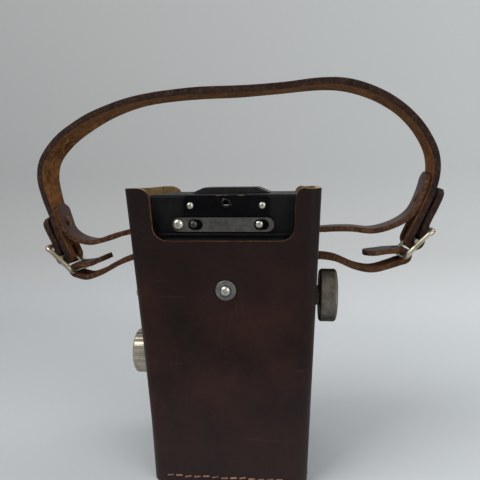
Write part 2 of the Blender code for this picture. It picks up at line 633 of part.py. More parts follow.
# ---- film chambers ----------------------------------------------------------------
def build_film_parts():
    half = SPOOL_LENGTH / 2
    flange = SPOOL_FLANGE_THICK
    bore = SHAFT_RADIUS + GAP
    turned("take_up_spool", "X", (0, SPOOL_AXIS_Y, TAKE_UP_Z),
           [(SPOOL_FLANGE, half), (SPOOL_FLANGE, half - flange), (SPOOL_CORE, half - flange),
            (SPOOL_CORE, -half + flange), (SPOOL_FLANGE, -half + flange), (SPOOL_FLANGE, -half),
            (bore, -half), (bore, half)], "blackened", 24, closed=True)
    for sign, axis, side in ((1, "X", "right"), (-1, "-X", "left")):
        turned("supply_pin_" + side, axis,
               (sign * (CHAMBER_WIDTH / 2 - SUPPLY_PIN_REACH), SPOOL_AXIS_Y, SUPPLY_Z),
               [(0, SUPPLY_PIN_LENGTH - GAP), (SHAFT_RADIUS, SUPPLY_PIN_LENGTH - GAP),
                (SHAFT_RADIUS, 0.0008),
                (SHAFT_RADIUS - 0.0008, 0), (0, 0)], "nickel", 24)
    half_frame = FRAME_SIZE / 2
    apertures = [rounded(x - half_frame, LENS_Z - half_frame, x + half_frame, LENS_Z + half_frame,
                         0.0006, 2) for x in (-LENS_X, LENS_X)]
    gate_y = BODY_BACK + GATE_REACH
    gate = rounded(-GATE_HALF_WIDTH, LENS_Z - half_frame - GATE_MARGIN, GATE_HALF_WIDTH,
                   LENS_Z + half_frame + GATE_MARGIN, 0.001)
    outline("film_gate", "Y", [gate] + apertures, gate_y, gate_y + GATE_THICK, "blackened")
    box("light_septum", (-SEPTUM_THICK / 2, BODY_BACK + FILM_BED_DEPTH + GAP, LENS_Z - half_frame),
        (SEPTUM_THICK / 2, SHUTTER_Y - GAP, LENS_Z + half_frame), "blackened")
    for label, sign in (("upper", 1), ("lower", -1)):
        z = LENS_Z + sign * (half_frame + FILM_BAR_OFFSET)
        seat = BODY_BACK + FILM_BED_DEPTH
        small = FILM_BAR_RADIUS - FILM_BAR_EDGE
        end = FILM_BAR_HALF - FILM_BAR_EDGE
        turned("film_bar_" + label, "X", (0, seat - GAP - FILM_BAR_RADIUS, z),
               [(0, FILM_BAR_HALF), (small, FILM_BAR_HALF), (FILM_BAR_RADIUS, end),
                (FILM_BAR_RADIUS, -end), (small, -FILM_BAR_HALF), (0, -FILM_BAR_HALF)],
               "nickel", 16)


# ---- winding side -----------------------------------------------------------------
def build_winding():
    axis_at = (0, SPOOL_AXIS_Y, TAKE_UP_Z)
    face = BODY_HALF
    plate_thick = 0.0008
    turned("winder_plate", "X", (face + GAP, *axis_at[1:]),
           [(0.0122, plate_thick), (0.0124, plate_thick - 0.0002), (0.0124, 0),
            (SHAFT_RADIUS + RUN, 0), (SHAFT_RADIUS + RUN, plate_thick)], "nickel", 28, closed=True)
    ratchet_at = face + GAP + plate_thick + GAP
    teeth = []
    for i in range(RATCHET_TEETH):
        base = 360 / RATCHET_TEETH * i
        teeth += arc((SPOOL_AXIS_Y, TAKE_UP_Z), RATCHET_RADIUS, base, base + 2, 1)[:1]
        teeth += arc((SPOOL_AXIS_Y, TAKE_UP_Z), RATCHET_RADIUS - 0.0010, base + 3, base + 5, 1)[:1]
    outline("ratchet_wheel", "X",
            [teeth, ring_outline(SPOOL_AXIS_Y, TAKE_UP_Z, SHAFT_RADIUS + GAP)],
            ratchet_at, ratchet_at + RATCHET_THICK, "brass", origin=(ratchet_at, *axis_at[1:]))
    pivot = (SPOOL_AXIS_Y + PAWL_PIVOT_REACH * math.cos(PAWL_PIVOT_ANGLE),
             TAKE_UP_Z + PAWL_PIVOT_REACH * math.sin(PAWL_PIVOT_ANGLE))
    tip_angle = PAWL_PIVOT_ANGLE - math.radians(50)
    tip_reach = RATCHET_RADIUS + GAP
    tip = (SPOOL_AXIS_Y + tip_reach * math.cos(tip_angle),
           TAKE_UP_Z + tip_reach * math.sin(tip_angle))
    lean = math.degrees(math.atan2(tip[1] - pivot[1], tip[0] - pivot[0]))
    beak = [(tip[0] + 0.0002, tip[1]),
            (tip[0] + 0.0006 * math.cos(tip_angle), tip[1] + 0.0012 * math.sin(tip_angle))]
    outline("ratchet_pawl", "X",
            [arc(pivot, 0.0013, lean + 90, lean + 270, 8) + beak],
            ratchet_at, ratchet_at + RATCHET_THICK, "nickel", origin=(ratchet_at, *pivot))
    knob_inner = KNOB_END - KNOB_LENGTH
    hub_start = ratchet_at + RATCHET_THICK + GAP
    bore = SHAFT_RADIUS + GAP
    rim = 0.0012
    turned("winding_knob", "X", (0, *axis_at[1:]),
           [(KNOB_RADIUS - 0.0035, KNOB_END), (KNOB_RADIUS - rim, KNOB_END - 0.0003),
            (KNOB_RADIUS, KNOB_END - rim), (KNOB_RADIUS, knob_inner), (0.0045, knob_inner),
            (0.0045, hub_start), (bore, hub_start), (bore, KNOB_END - 0.0014),
            (KNOB_RADIUS - 0.0040, KNOB_END - 0.0014)], "nickel", 36, closed=True)
    shaft_start = SPOOL_LENGTH / 2 - 0.006
    turned("winding_shaft", "X", (0, *axis_at[1:]),
           [(0, KNOB_END - 0.0006), (SHAFT_RADIUS - 0.0005, KNOB_END - 0.0006),
            (SHAFT_RADIUS, KNOB_END - 0.0011), (SHAFT_RADIUS, shaft_start + 0.0006),
            (SHAFT_RADIUS - 0.0006, shaft_start), (0, shaft_start)], "nickel", 24)
    pin_start = SPOOL_LENGTH / 2 - 0.005
    neck = PULL_PIN_END - 0.0042
    turned("spool_pull_pin", "-X", (0, *axis_at[1:]),
           [(0, PULL_PIN_END), (PULL_PIN_HEAD * 0.5, PULL_PIN_END - 0.0003),
            (PULL_PIN_HEAD * 0.86, PULL_PIN_END - 0.0011), (PULL_PIN_HEAD, PULL_PIN_END - 0.0022),
            (PULL_PIN_HEAD, neck), (SHAFT_RADIUS, neck), (SHAFT_RADIUS, pin_start + 0.0006),
            (SHAFT_RADIUS - 0.0006, pin_start), (0, pin_start)], "nickel", 28)


# ---- focusing side and lenses -----------------------------------------------------
def build_focus():
    axis_at = (FOCUS_AXIS_Y, LENS_Z)
    inner = WHEEL_END - WHEEL_LENGTH
    hub = BODY_HALF + GAP
    bore = SHAFT_RADIUS + GAP
    wheel = turned("focus_wheel", "-X", (0, *axis_at),
                   [(WHEEL_RADIUS - 0.0030, WHEEL_END), (WHEEL_RADIUS - 0.0009, WHEEL_END),
                    (WHEEL_RADIUS, WHEEL_END - 0.0008), (WHEEL_RADIUS, inner), (0.0050, inner),
                    (0.0050, hub), (bore, hub), (bore, WHEEL_END - 0.0012),
                    (WHEEL_RADIUS - 0.0034, WHEEL_END - 0.0012)], "nickel", 40, closed=True)
    flutes = bmesh.new()
    for i in range(WHEEL_FLUTES):
        turn = 2 * math.pi * (i + 0.5) / WHEEL_FLUTES
        made = bmesh.ops.create_cone(flutes, cap_ends=True, segments=8, radius1=WHEEL_FLUTE_RADIUS,
                                     radius2=WHEEL_FLUTE_RADIUS, depth=WHEEL_LENGTH + 2 * OVERCUT)
        bmesh.ops.rotate(flutes, verts=made["verts"], cent=(0, 0, 0), matrix=AXES["X"])
        bmesh.ops.translate(flutes, verts=made["verts"],
                            vec=(-(WHEEL_END + inner) / 2,
                                 axis_at[0] + WHEEL_RADIUS * math.cos(turn),
                                 axis_at[1] + WHEEL_RADIUS * math.sin(turn)))
    cut(wheel, finish(from_bmesh("focus_wheel_flutes", flutes), None, True))
    shaft_start = LIGHT_BOX_HALF + 0.0012
    turned("focus_shaft", "-X", (0, *axis_at),
           [(0, WHEEL_END - 0.0006), (SHAFT_RADIUS - 0.0004, WHEEL_END - 0.0006),
            (SHAFT_RADIUS, WHEEL_END - 0.0010), (SHAFT_RADIUS, shaft_start + 0.0042),
            (0.0013, shaft_start + 0.0042), (0.0013, shaft_start), (0, shaft_start)],
           "nickel", 24)
    pinion_near = -(shaft_start + 0.0038)
    pinion_far = -(shaft_start + 0.0004)
    teeth = []
    for i in range(PINION_TEETH * 2):
        radius = PINION_RADIUS + (0.00035 if i % 2 else -0.00035)
        base = 180 / PINION_TEETH * i
        teeth += arc(axis_at, radius, base - 4, base + 4, 1)
    outline("focus_pinion", "X", [teeth, ring_outline(*axis_at, 0.0013 + GAP, 16)], pinion_near,
            pinion_far, "brass", origin=(pinion_near, *axis_at))
    rack_low = LENS_Z + PINION_RADIUS + 0.00035 + 0.0002
    rack_high = rack_low + 0.0022
    rack_end = BOARD_Y - GAP
    rack_start = FOCUS_AXIS_Y - 0.0030
    outline("focus_rack", "X", [rack_teeth(rack_start, rack_end, rack_low, rack_high)],
            pinion_near + 0.0002, pinion_far - 0.0002, "brass")


def rack_teeth(start, end, low, high):
    """A bar whose underside carries teeth of the pinion's pitch over the pinion."""
    pitch = 2 * math.pi * PINION_RADIUS / PINION_TEETH
    line = [(end, high), (start, high)]
    for i in range(10):
        y = start + i * pitch
        line += [(y, low), (y + pitch * 0.4, low), (y + pitch * 0.5, low + 0.0006),
                 (y + pitch * 0.9, low + 0.0006)]
    return line + [(end, low + 0.0006)]


def build_lenses():
    half_x = BOARD_WIDTH / 2
    half_z = BOARD_HEIGHT / 2
    front = BOARD_Y + BOARD_THICK
    holes = [ring_outline(x, LENS_Z, BARREL_RADIUS + GAP, 32) for x in (-LENS_X, LENS_X)]
    outline("lens_board", "Y",
            [rounded(-half_x, LENS_Z - half_z, half_x, LENS_Z + half_z, 0.0036)] + holes,
            BOARD_Y, front, "gunmetal")
    ring_start = front + GAP + 0.0006
    ring_end = ring_start + APERTURE_RING_WIDTH
    for sign, side in ((-1, "left"), (1, "right")):
        x = sign * LENS_X
        start = BARREL_TIP - BARREL_LENGTH
        lip = BARREL_RADIUS + 0.0012
        turned("lens_barrel_" + side, "Y", (x, 0, LENS_Z),
               [(BARREL_RADIUS - 0.0006, BARREL_TIP), (BARREL_RADIUS, BARREL_TIP - 0.0005),
                (BARREL_RADIUS, front + GAP + 0.0004), (lip, front + GAP + 0.0004),
                (lip, front + GAP), (BARREL_RADIUS, front + GAP), (BARREL_RADIUS, start),
                (BARREL_BORE, start), (BARREL_BORE, BARREL_TIP)], "nickel", 28, closed=True)
        glass = BARREL_TIP - 0.0034
        turned("lens_glass_" + side, "Y", (x, 0, LENS_Z),
               [(0, glass + 0.0009), (LENS_GLASS_RADIUS * 0.5, glass + 0.00068),
                (LENS_GLASS_RADIUS, glass), (LENS_GLASS_RADIUS, glass - LENS_GLASS_THICK),
                (0, glass - LENS_GLASS_THICK)], "glass", 32)
        inner = BARREL_RADIUS + RUN
        ring = turned("aperture_ring_" + side, "Y", (x, 0, LENS_Z),
                      [(APERTURE_RING_RADIUS - 0.0004, ring_end),
                       (APERTURE_RING_RADIUS, ring_end - 0.0004),
                       (APERTURE_RING_RADIUS, ring_start), (inner, ring_start),
                       (inner, ring_end)], "blackened", 32, closed=True)
        tab = box("aperture_tab_" + side, (x - 0.0009, ring_start + 0.0004,
                                           LENS_Z + APERTURE_RING_RADIUS - 0.0008),
                  (x + 0.0009, ring_end - 0.0004, LENS_Z + APERTURE_RING_RADIUS + 0.0024))
        join(ring, tab)


def build_shutter():
    half_x = LIGHT_BOX_HALF - GAP
    half_z = FRAME_SIZE / 2 + FRAME_SIDE_WALL - GAP
    stops = [ring_outline(x, LENS_Z, STOP_RADIUS, 24) for x in (-LENS_X, LENS_X)]
    outline("shutter_plate", "Y",
            [rounded(-half_x, LENS_Z - half_z, half_x, LENS_Z + half_z, 0.0005, 2)] + stops,
            SHUTTER_Y, SHUTTER_Y + 0.0006, "blackened")
    near = SHUTTER_Y + 0.0006 + GAP + 0.0003
    shift = -SHUTTER_TRAVEL
    openings = [ring_outline(x + shift, LENS_Z, STOP_RADIUS, 24) for x in (-LENS_X, LENS_X)]
    low = -LENS_X + shift - STOP_RADIUS - 0.0015
    high = LENS_X + STOP_RADIUS + 0.0015
    outline("shutter_blade", "Y", [rounded(low, LENS_Z - 0.0075, high, LENS_Z + 0.0075, 0.001)]
            + openings, near, near + 0.0005, "blackened")


# ---- finder and latch -------------------------------------------------------------
def build_finder():
    half = PLATE_WIDTH / 2
    top = BODY_TOP - 0.0003
    r = 0.0022
    edge = ([(-half, PLATE_LOW), (half, PLATE_LOW)] + arc((half - r, top - r), r, 0, 90, 5)
            + arc((-half + r, top - r), r, 90, 180, 5))
    holes = [ring_outline(0, FINDER_Z + 0.0006, EYEPIECE_RADIUS + GAP, 24)]
    for x in (-PLATE_SCREW_X, PLATE_SCREW_X):
        holes.append(ring_outline(x, PLATE_SCREW_Z, SMALL_SHANK + GAP, 16))
    for x in (-LATCH_SLOT_X, LATCH_SLOT_X):
        holes.append(ring_outline(x, LATCH_Z, GUIDE_SHANK + GAP, 16))
    outline("finder_back_plate", "Y", [edge] + holes, PLATE_FACE, PLATE_BACK, "black_paint")
    turned("finder_eyepiece", "-Y", (0, PLATE_BACK, FINDER_Z + 0.0006),
           [(EYEPIECE_RADIUS - 0.0004, 0.0014), (EYEPIECE_RADIUS, 0.0011), (EYEPIECE_RADIUS, -0.0010),
            (EYEPIECE_RADIUS - 0.0008, -0.0010), (EYEPIECE_RADIUS - 0.0008, 0.0014)],
           "bakelite", 20, closed=True)
    low = BODY_TOP + GAP
    outline("finder_hood", "Y",
            [[(-HOOD_BASE / 2, low), (HOOD_BASE / 2, low), (HOOD_TOP / 2, low + HOOD_HEIGHT),
              (-HOOD_TOP / 2, low + HOOD_HEIGHT)]],
            HOOD_Y - HOOD_DEPTH / 2, HOOD_Y + HOOD_DEPTH / 2, "gunmetal")
    for side, x in (("left", -PLATE_SCREW_X), ("right", PLATE_SCREW_X)):
        turned("plate_screw_" + side, "-Y", (x, PLATE_FACE - GAP, PLATE_SCREW_Z),
               [(0, 0.0009), (PLATE_SCREW_RADIUS * 0.7, 0.0008), (PLATE_SCREW_RADIUS, 0.0004),
                (PLATE_SCREW_RADIUS, 0), (SMALL_SHANK, 0), (SMALL_SHANK, -SCREW_REACH),
                (0, -SCREW_REACH)],
               "nickel", 16)


def build_latch():
    back = PLATE_FACE - GAP
    face = back - LATCH_THICK
    # The pins stand at the slots' left ends, so that the bar can move left.
    slot_shift = LATCH_TRAVEL / 2
    bar = stadium(LATCH_SHIFT, LATCH_Z, LATCH_LENGTH, LATCH_HEIGHT)
    slots = [stadium(x + slot_shift, LATCH_Z, LATCH_SLOT_LENGTH, LATCH_SLOT_HEIGHT)
             for x in (-LATCH_SLOT_X, LATCH_SLOT_X)]
    thumb_x = LATCH_SHIFT - LATCH_LENGTH / 2 + LATCH_HEIGHT / 2 - 0.0004
    hole = ring_outline(thumb_x, LATCH_Z, THUMB_SHANK + GAP, 16)
    outline("latch_bar", "Y", [bar] + slots + [hole], face, back, "gunmetal",
            origin=(LATCH_SHIFT, face, LATCH_Z))
    turned("latch_thumb_screw", "-Y", (thumb_x, face - GAP, LATCH_Z),
           [(0, 0.0013), (THUMB_RADIUS * 0.6, 0.0011), (THUMB_RADIUS, 0.0005), (THUMB_RADIUS, 0),
            (THUMB_SHANK, 0), (THUMB_SHANK, -LATCH_THICK), (0, -LATCH_THICK)], "nickel", 18)
    for side, x in (("left", -LATCH_SLOT_X), ("right", LATCH_SLOT_X)):
        turned("latch_guide_screw_" + side, "-Y", (x, back, LATCH_Z),
               [(0, LATCH_THICK + 0.0003), (LATCH_PIN_RADIUS * 0.8, LATCH_THICK + 0.0002),
                (LATCH_PIN_RADIUS, LATCH_THICK - 0.0002), (LATCH_PIN_RADIUS, 0),
                (GUIDE_SHANK, 0), (GUIDE_SHANK, -GUIDE_REACH), (0, -GUIDE_REACH)], "nickel", 18)


# ---- carrying strap ---------------------------------------------------------------
# Each side gives the buckle's centre bar, the direction from the bar to the buckle's
# lower end in degrees, and the routes of its leathers, all in the XZ plane.
LEFT = {
    "bar": (-0.0892, 0.1115), "lean": -52.0, "bow": 16.0, "rivet": 0.1290,
    "hang": [(-0.0934, 0.1335), (-0.0904, 0.1225)],
    "tail": [(-0.0925, 0.1172), (-0.0955, 0.1250), (-0.0980, 0.1318)],
    "upper": [(-0.0917, 0.1388), (-0.0907, 0.1345), (-0.0894, 0.1297), (-0.0886, 0.1266),
              (-0.0861, 0.1232), (-0.0815, 0.1204), (-0.0750, 0.1190), (-0.0690, 0.1200),
              (-0.0600, 0.1230), (-0.0510, 0.1252)],
    "lower": [(-0.0519, 0.1116), (-0.0607, 0.1083), (-0.0694, 0.1036), (-0.0778, 0.1006)],
    "tongue": [(-0.0764, 0.1078), (-0.0716, 0.1096), (-0.0659, 0.1118)],
}
RIGHT = {
    "bar": (0.0892, 0.1205), "lean": -122.0, "bow": 24.0, "rivet": 0.1400,
    "hang": [(0.0966, 0.1520), (0.0948, 0.1430), (0.0906, 0.1315)],
    "tail": [(0.0937, 0.1285), (0.0971, 0.1365), (0.1004, 0.1452)],
    "upper": [(0.0939, 0.1530), (0.0932, 0.1496), (0.0923, 0.1452), (0.0910, 0.1410),
              (0.0896, 0.1372), (0.0870, 0.1332), (0.0820, 0.1294), (0.0750, 0.1265),
              (0.0680, 0.1253), (0.0595, 0.1262), (0.0510, 0.1262)],
    "lower": [(0.0520, 0.1112), (0.0611, 0.1073), (0.0700, 0.1058), (0.0789, 0.1082)],
    "tongue": [(0.0762, 0.1150), (0.0712, 0.1142), (0.0655, 0.1140)],
}
OVER_HEAD = [(-0.0959, 0.1440), (-0.0967, 0.1530), (-0.0940, 0.1615), (-0.0864, 0.1699),
             (-0.0772, 0.1763), (-0.0640, 0.1829), (-0.0450, 0.1885), (-0.0195, 0.1911),
             (0.0040, 0.1916), (0.0235, 0.1925), (0.0420, 0.1938), (0.0545, 0.1930),
             (0.0670, 0.1892), (0.0780, 0.1832), (0.0867, 0.1755), (0.0928, 0.1670),
             (0.0958, 0.1600)]
STRAP_AXIS_Z = (SLOT_Z_UPPER + SLOT_Z_LOWER) / 2
FOLD_RADIUS = BUCKLE_WIRE + GAP + STRAP_THICK / 2
WRAP_RADIUS = BUCKLE_WIRE + GAP + TAB_THICK / 2
SPLIT_GAP = 0.0004           # the strap's leathers meet the anchored ends here


def side_sign(side):
    return -1 if side["bar"][0] < 0 else 1


def buckle_end(side):
    """The middle of the buckle's lower bar."""
    lean = math.radians(side["lean"])
    return (side["bar"][0] + BUCKLE_HALF_LENGTH * math.cos(lean),
            side["bar"][1] + BUCKLE_HALF_LENGTH * math.sin(lean))


def main_strap_route():
    """From the left tail, round the left bar, over the top, to the right tail."""
    left_fold = arc(LEFT["bar"], FOLD_RADIUS, 170, 370, 12)
    right_fold = arc(RIGHT["bar"], FOLD_RADIUS, 170, 370, 12)
    over = smooth_path([left_fold[-1]] + LEFT["hang"][::-1] + OVER_HEAD + RIGHT["hang"]
                       + [right_fold[0]], 3)
    left_tail = smooth_path(LEFT["tail"][::-1] + [left_fold[0]], 4)
    right_tail = smooth_path([right_fold[-1]] + RIGHT["tail"], 4)
    return left_tail[:-1] + left_fold[:-1] + over[:-1] + right_fold[:-1] + right_tail


def build_strap():
    main = ribbon("strap_main", main_strap_route(), STRAP_THICK, STRAP_WIDTH, "strap_leather",
                  origin=(0, 0, STRAP_AXIS_Z))
    for label, side in (("left", LEFT), ("right", RIGHT)):
        build_strap_side(label, side, main)


def wall_x(label, z, inset=0.0):
    sign = -1 if label == "left" else 1
    return sign * (case_half(z) - inset)


def build_strap_side(label, side, main):
    sign = -1 if label == "left" else 1
    mouth_upper = (wall_x(label, SLOT_Z_UPPER) + sign * SPLIT_GAP, SLOT_Z_UPPER)
    mouth_lower = (wall_x(label, SLOT_Z_LOWER) + sign * SPLIT_GAP, SLOT_Z_LOWER)
    straight = (sign * 0.003)
    axis_origin = (0, 0, STRAP_AXIS_Z)
    upper_route = smooth_path(side["upper"] + [(mouth_upper[0] + straight, mouth_upper[1]),
                                               mouth_upper], 4)
    upper = ribbon("strap_tab_%s_upper" % label, upper_route, TAB_THICK, TAB_WIDTH,
                   "strap_leather", origin=axis_origin)
    wrap = arc(buckle_end(side), WRAP_RADIUS, -90 - sign * 10, -90 + sign * 170, 9)
    lower_route = smooth_path([mouth_lower, (mouth_lower[0] + straight, mouth_lower[1])]
                              + side["lower"] + [wrap[0]], 4)[:-1] + wrap[:-1]
    lower_route += smooth_path([wrap[-1]] + side["tongue"], 4)
    lower = ribbon("strap_tab_%s_lower" % label, lower_route, TAB_THICK, TAB_WIDTH,
                   "strap_leather", origin=axis_origin)
    build_anchor(label, sign)
    build_buckle(label, side, main, lower)
    build_rivet(label, side, main, upper)


def build_anchor(label, sign):
    """The stretch of the leather that runs through both slots inside the case wall."""
    inner = case_half(SLOT_Z_UPPER) - LEATHER - TAB_THICK / 2 - 2 * GAP
    bend = 0.0026
    upper = (sign * (case_half(SLOT_Z_UPPER) - GAP), SLOT_Z_UPPER)
    lower = (sign * (case_half(SLOT_Z_LOWER) - GAP), SLOT_Z_LOWER)
    route = [upper, (sign * (inner + bend * 0.55), SLOT_Z_UPPER - 0.0001),
             (sign * (inner + 0.0002), SLOT_Z_UPPER - bend * 0.8),
             (sign * (inner - 0.0001), STRAP_AXIS_Z),
             (sign * (inner - 0.0004), SLOT_Z_LOWER + bend * 0.8),
             (sign * (inner - 0.0004 + bend * 0.4), SLOT_Z_LOWER + 0.0001), lower]
    ribbon("strap_anchor_" + label, smooth_path(route, 4), TAB_THICK, TAB_WIDTH, "strap_leather")


def build_buckle(label, side, main, lower):
    """A bowed wire frame with a middle bar, and the prong that turns on the bar."""
    half = BUCKLE_WIDTH / 2
    reach = BUCKLE_HALF_LENGTH
    sign = side_sign(side)
    corner = 0.0028
    loop = rounded(-reach, -half, reach, half, corner, 4)
    turn = math.radians(side["lean"])
    place = Matrix.Translation((side["bar"][0], 0, side["bar"][1])) @ Matrix.Rotation(-turn, 4, "Y")
    bow = math.radians(side["bow"])
    bent = [(a, b, 0) if a > 0 else (a * math.cos(bow), b, a * math.sin(bow) * -sign)
            for a, b in loop]
    frame = wire("buckle_" + label, bent, BUCKLE_WIRE, True, place, "nickel")
    bar = wire("buckle_bar_" + label, [(0, -half, 0), (0, half, 0)], BUCKLE_WIRE, False, place)
    join(frame, bar)
    above = 1 if label == "left" else -1
    hub = BUCKLE_WIRE + RUN + PRONG_WIRE
    lift = above * (BUCKLE_WIRE + GAP + PRONG_WIRE)
    curl = [(hub * math.cos(a), hub * math.sin(a) * above)
            for a in [math.radians(90 - 300 * i / 10) for i in range(10, -1, -1)]]
    path = [(x, 0, z) for x, z in curl]
    path += [(reach * 0.5, 0, lift + above * 0.0009), (reach + 0.0012, 0, lift)]
    wire("buckle_prong_" + label, path, PRONG_WIRE, False, place, "nickel")
    slot = box("prong_slot_" + label, (-0.0046, -0.0016, -0.0055), (0.0046, 0.0016, 0.0055))
    low, high = sorted((-above * 0.0005, above * PRONG_SLOT_REACH))
    hole = box("prong_hole_" + label, (reach - 0.0042, -0.0014, low), (reach + 0.0036, 0.0014, high))
    for tool in (slot, hole):
        tool.matrix_world = place
    cut(main, slot)
    cut(lower, hole)


def wire(name, points, radius, closed, place, look=None):
    """A round wire along points, turned into a mesh with closed ends."""
    curve = bpy.data.curves.new(name, "CURVE")
    curve.dimensions = "3D"
    curve.bevel_depth = radius
    curve.bevel_resolution = 2
    curve.use_fill_caps = True
    spline = curve.splines.new("POLY")
    spline.points.add(len(points) - 1)
    for point, place_at in zip(spline.points, points):
        point.co = (*place_at, 1)
    spline.use_cyclic_u = closed
    line = bpy.data.objects.new(name + "_line", curve)
    bpy.context.scene.collection.objects.link(line)
    solid = bpy.data.meshes.new_from_object(
        line.evaluated_get(bpy.context.evaluated_depsgraph_get()))
    bpy.data.objects.remove(line, do_unlink=True)
    shape = bmesh.new()
    shape.from_mesh(solid)
    bmesh.ops.remove_doubles(shape, verts=shape.verts, dist=0.000001)
    solid.clear_geometry()
    shape.to_mesh(solid)
    shape.free()
    obj = bpy.data.objects.new(name, solid)
    obj.matrix_world = place
    return finish(obj, look, look is None)


def build_rivet(label, side, main, upper):
    """A rivet through the end of the upper leather and the strap, square to the strap."""
    centre, outward = strap_at(side)
    head = RIVET_HEAD
    shank = RIVET_SHANK
    inner = STRAP_THICK / 2 + RIVET_SLACK + TAB_THICK + RIVET_SLACK + head
    total = inner + STRAP_THICK / 2 + RIVET_SLACK + head
    start = (centre[0] - outward[0] * inner, 0, centre[1] - outward[1] * inner)
    turn = (0, math.atan2(outward[0], outward[1]), 0)
    rivet = turned("strap_rivet_" + label, "Z", start,
                   [(0, total), (RIVET_RADIUS * 0.6, total), (RIVET_RADIUS, total - head + 0.0002),
                    (RIVET_RADIUS, total - head), (shank, total - head), (shank, head),
                    (RIVET_RADIUS, head), (RIVET_RADIUS, head - 0.0002),
                    (RIVET_RADIUS * 0.6, 0), (0, 0)], "nickel", 16)
    hole = rod("rivet_hole_" + label, "Z", start, total, shank + GAP, sides=20)
    for piece in (rivet, hole):
        piece.rotation_euler = turn
    for leather in (main, upper):
        cut(leather, hole)


def strap_at(side):
    """The strap's middle and its outward direction at the height of the rivet."""
    z = side["rivet"]
    run = side["hang"] + [p for p in OVER_HEAD if p[0] * side_sign(side) > 0]
    below = max((p for p in run if p[1] <= z), key=lambda p: p[1])
    above = min((p for p in run if p[1] > z), key=lambda p: p[1])
    share = (z - below[1]) / (above[1] - below[1])
    centre = (below[0] + (above[0] - below[0]) * share, z)
    length = math.hypot(above[0] - below[0], above[1] - below[1])
    outward = (side_sign(side) * (above[1] - below[1]) / length,
               -side_sign(side) * (above[0] - below[0]) / length)
    return centre, outward


# ---- everything -------------------------------------------------------------------
def build():
    clear_scene()
    build_case()
    build_case_fasteners()
    build_body()
    build_front_cover()
    build_release()
    build_back_door()
    build_film_parts()
    build_winding()
    build_focus()
    build_lenses()
    build_shutter()
    build_finder()
    build_latch()
    build_strap()


build()
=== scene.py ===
"""A stereo roll-film camera in its leather half case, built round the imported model.

Metres, +Z up. The camera's back faces -Y and the winding knob is on the +X side.
"""
import math

import bmesh
import bpy
from mathutils import Matrix, Vector


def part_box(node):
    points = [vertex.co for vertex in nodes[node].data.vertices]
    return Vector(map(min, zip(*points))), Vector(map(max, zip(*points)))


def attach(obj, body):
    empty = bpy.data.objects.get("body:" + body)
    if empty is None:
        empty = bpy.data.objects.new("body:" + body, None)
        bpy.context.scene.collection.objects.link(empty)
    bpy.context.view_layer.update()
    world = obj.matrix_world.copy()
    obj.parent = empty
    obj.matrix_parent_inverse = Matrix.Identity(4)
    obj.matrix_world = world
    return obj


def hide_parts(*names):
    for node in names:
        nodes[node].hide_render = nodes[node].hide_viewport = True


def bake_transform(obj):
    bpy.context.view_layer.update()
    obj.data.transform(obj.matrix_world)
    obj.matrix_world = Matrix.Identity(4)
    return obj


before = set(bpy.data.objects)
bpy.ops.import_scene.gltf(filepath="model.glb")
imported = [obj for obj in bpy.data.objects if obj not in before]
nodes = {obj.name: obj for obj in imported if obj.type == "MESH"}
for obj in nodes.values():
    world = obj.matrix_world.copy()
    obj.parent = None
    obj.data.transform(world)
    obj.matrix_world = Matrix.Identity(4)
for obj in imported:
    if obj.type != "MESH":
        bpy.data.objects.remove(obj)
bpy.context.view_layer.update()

# ---- places that repeat the part's own --------------------------------------------
CASE_WIDTH_TOP, CASE_WIDTH_BOTTOM = 0.085, 0.078
CASE_HEIGHT = 0.147
CASE_HALF_DEPTH = 0.034
CASE_CORNER = 0.0055
LEATHER = 0.0024
NOTCH_HALF = 0.0313
NOTCH_FLOOR, NOTCH_CORNER = 0.1235, 0.006
EAR_CORNER = 0.0045
FRONT_FLOOR, FRONT_CORNER = 0.024, 0.009
SPOOL_AXIS = (-0.013, 0.0945)          # y, z of the winding knob and the pull pin
FOCUS_AXIS = (-0.011, 0.0626)          # y, z of the focusing wheel
CASE_SCREW_Z = 0.101
PLATE_TOP = 0.14345
TRIPOD_Y = 0.012
STRAP_SHOWN, STRAP_WIDTH = 0.0031, 0.0155   # worn leather, a little thicker than the part's
TAB_SHOWN, TAB_WIDTH = 0.0026, 0.0130
BUCKLE_WIRE = 0.00135                  # radius, with its plating
BUCKLE_HALF_WIDTH = 0.0102
BUCKLE_REACH = 0.009
SLOT_UPPER, SLOT_LOWER = 0.1258, 0.1124
STRAP_AXIS_Z = (SLOT_UPPER + SLOT_LOWER) / 2
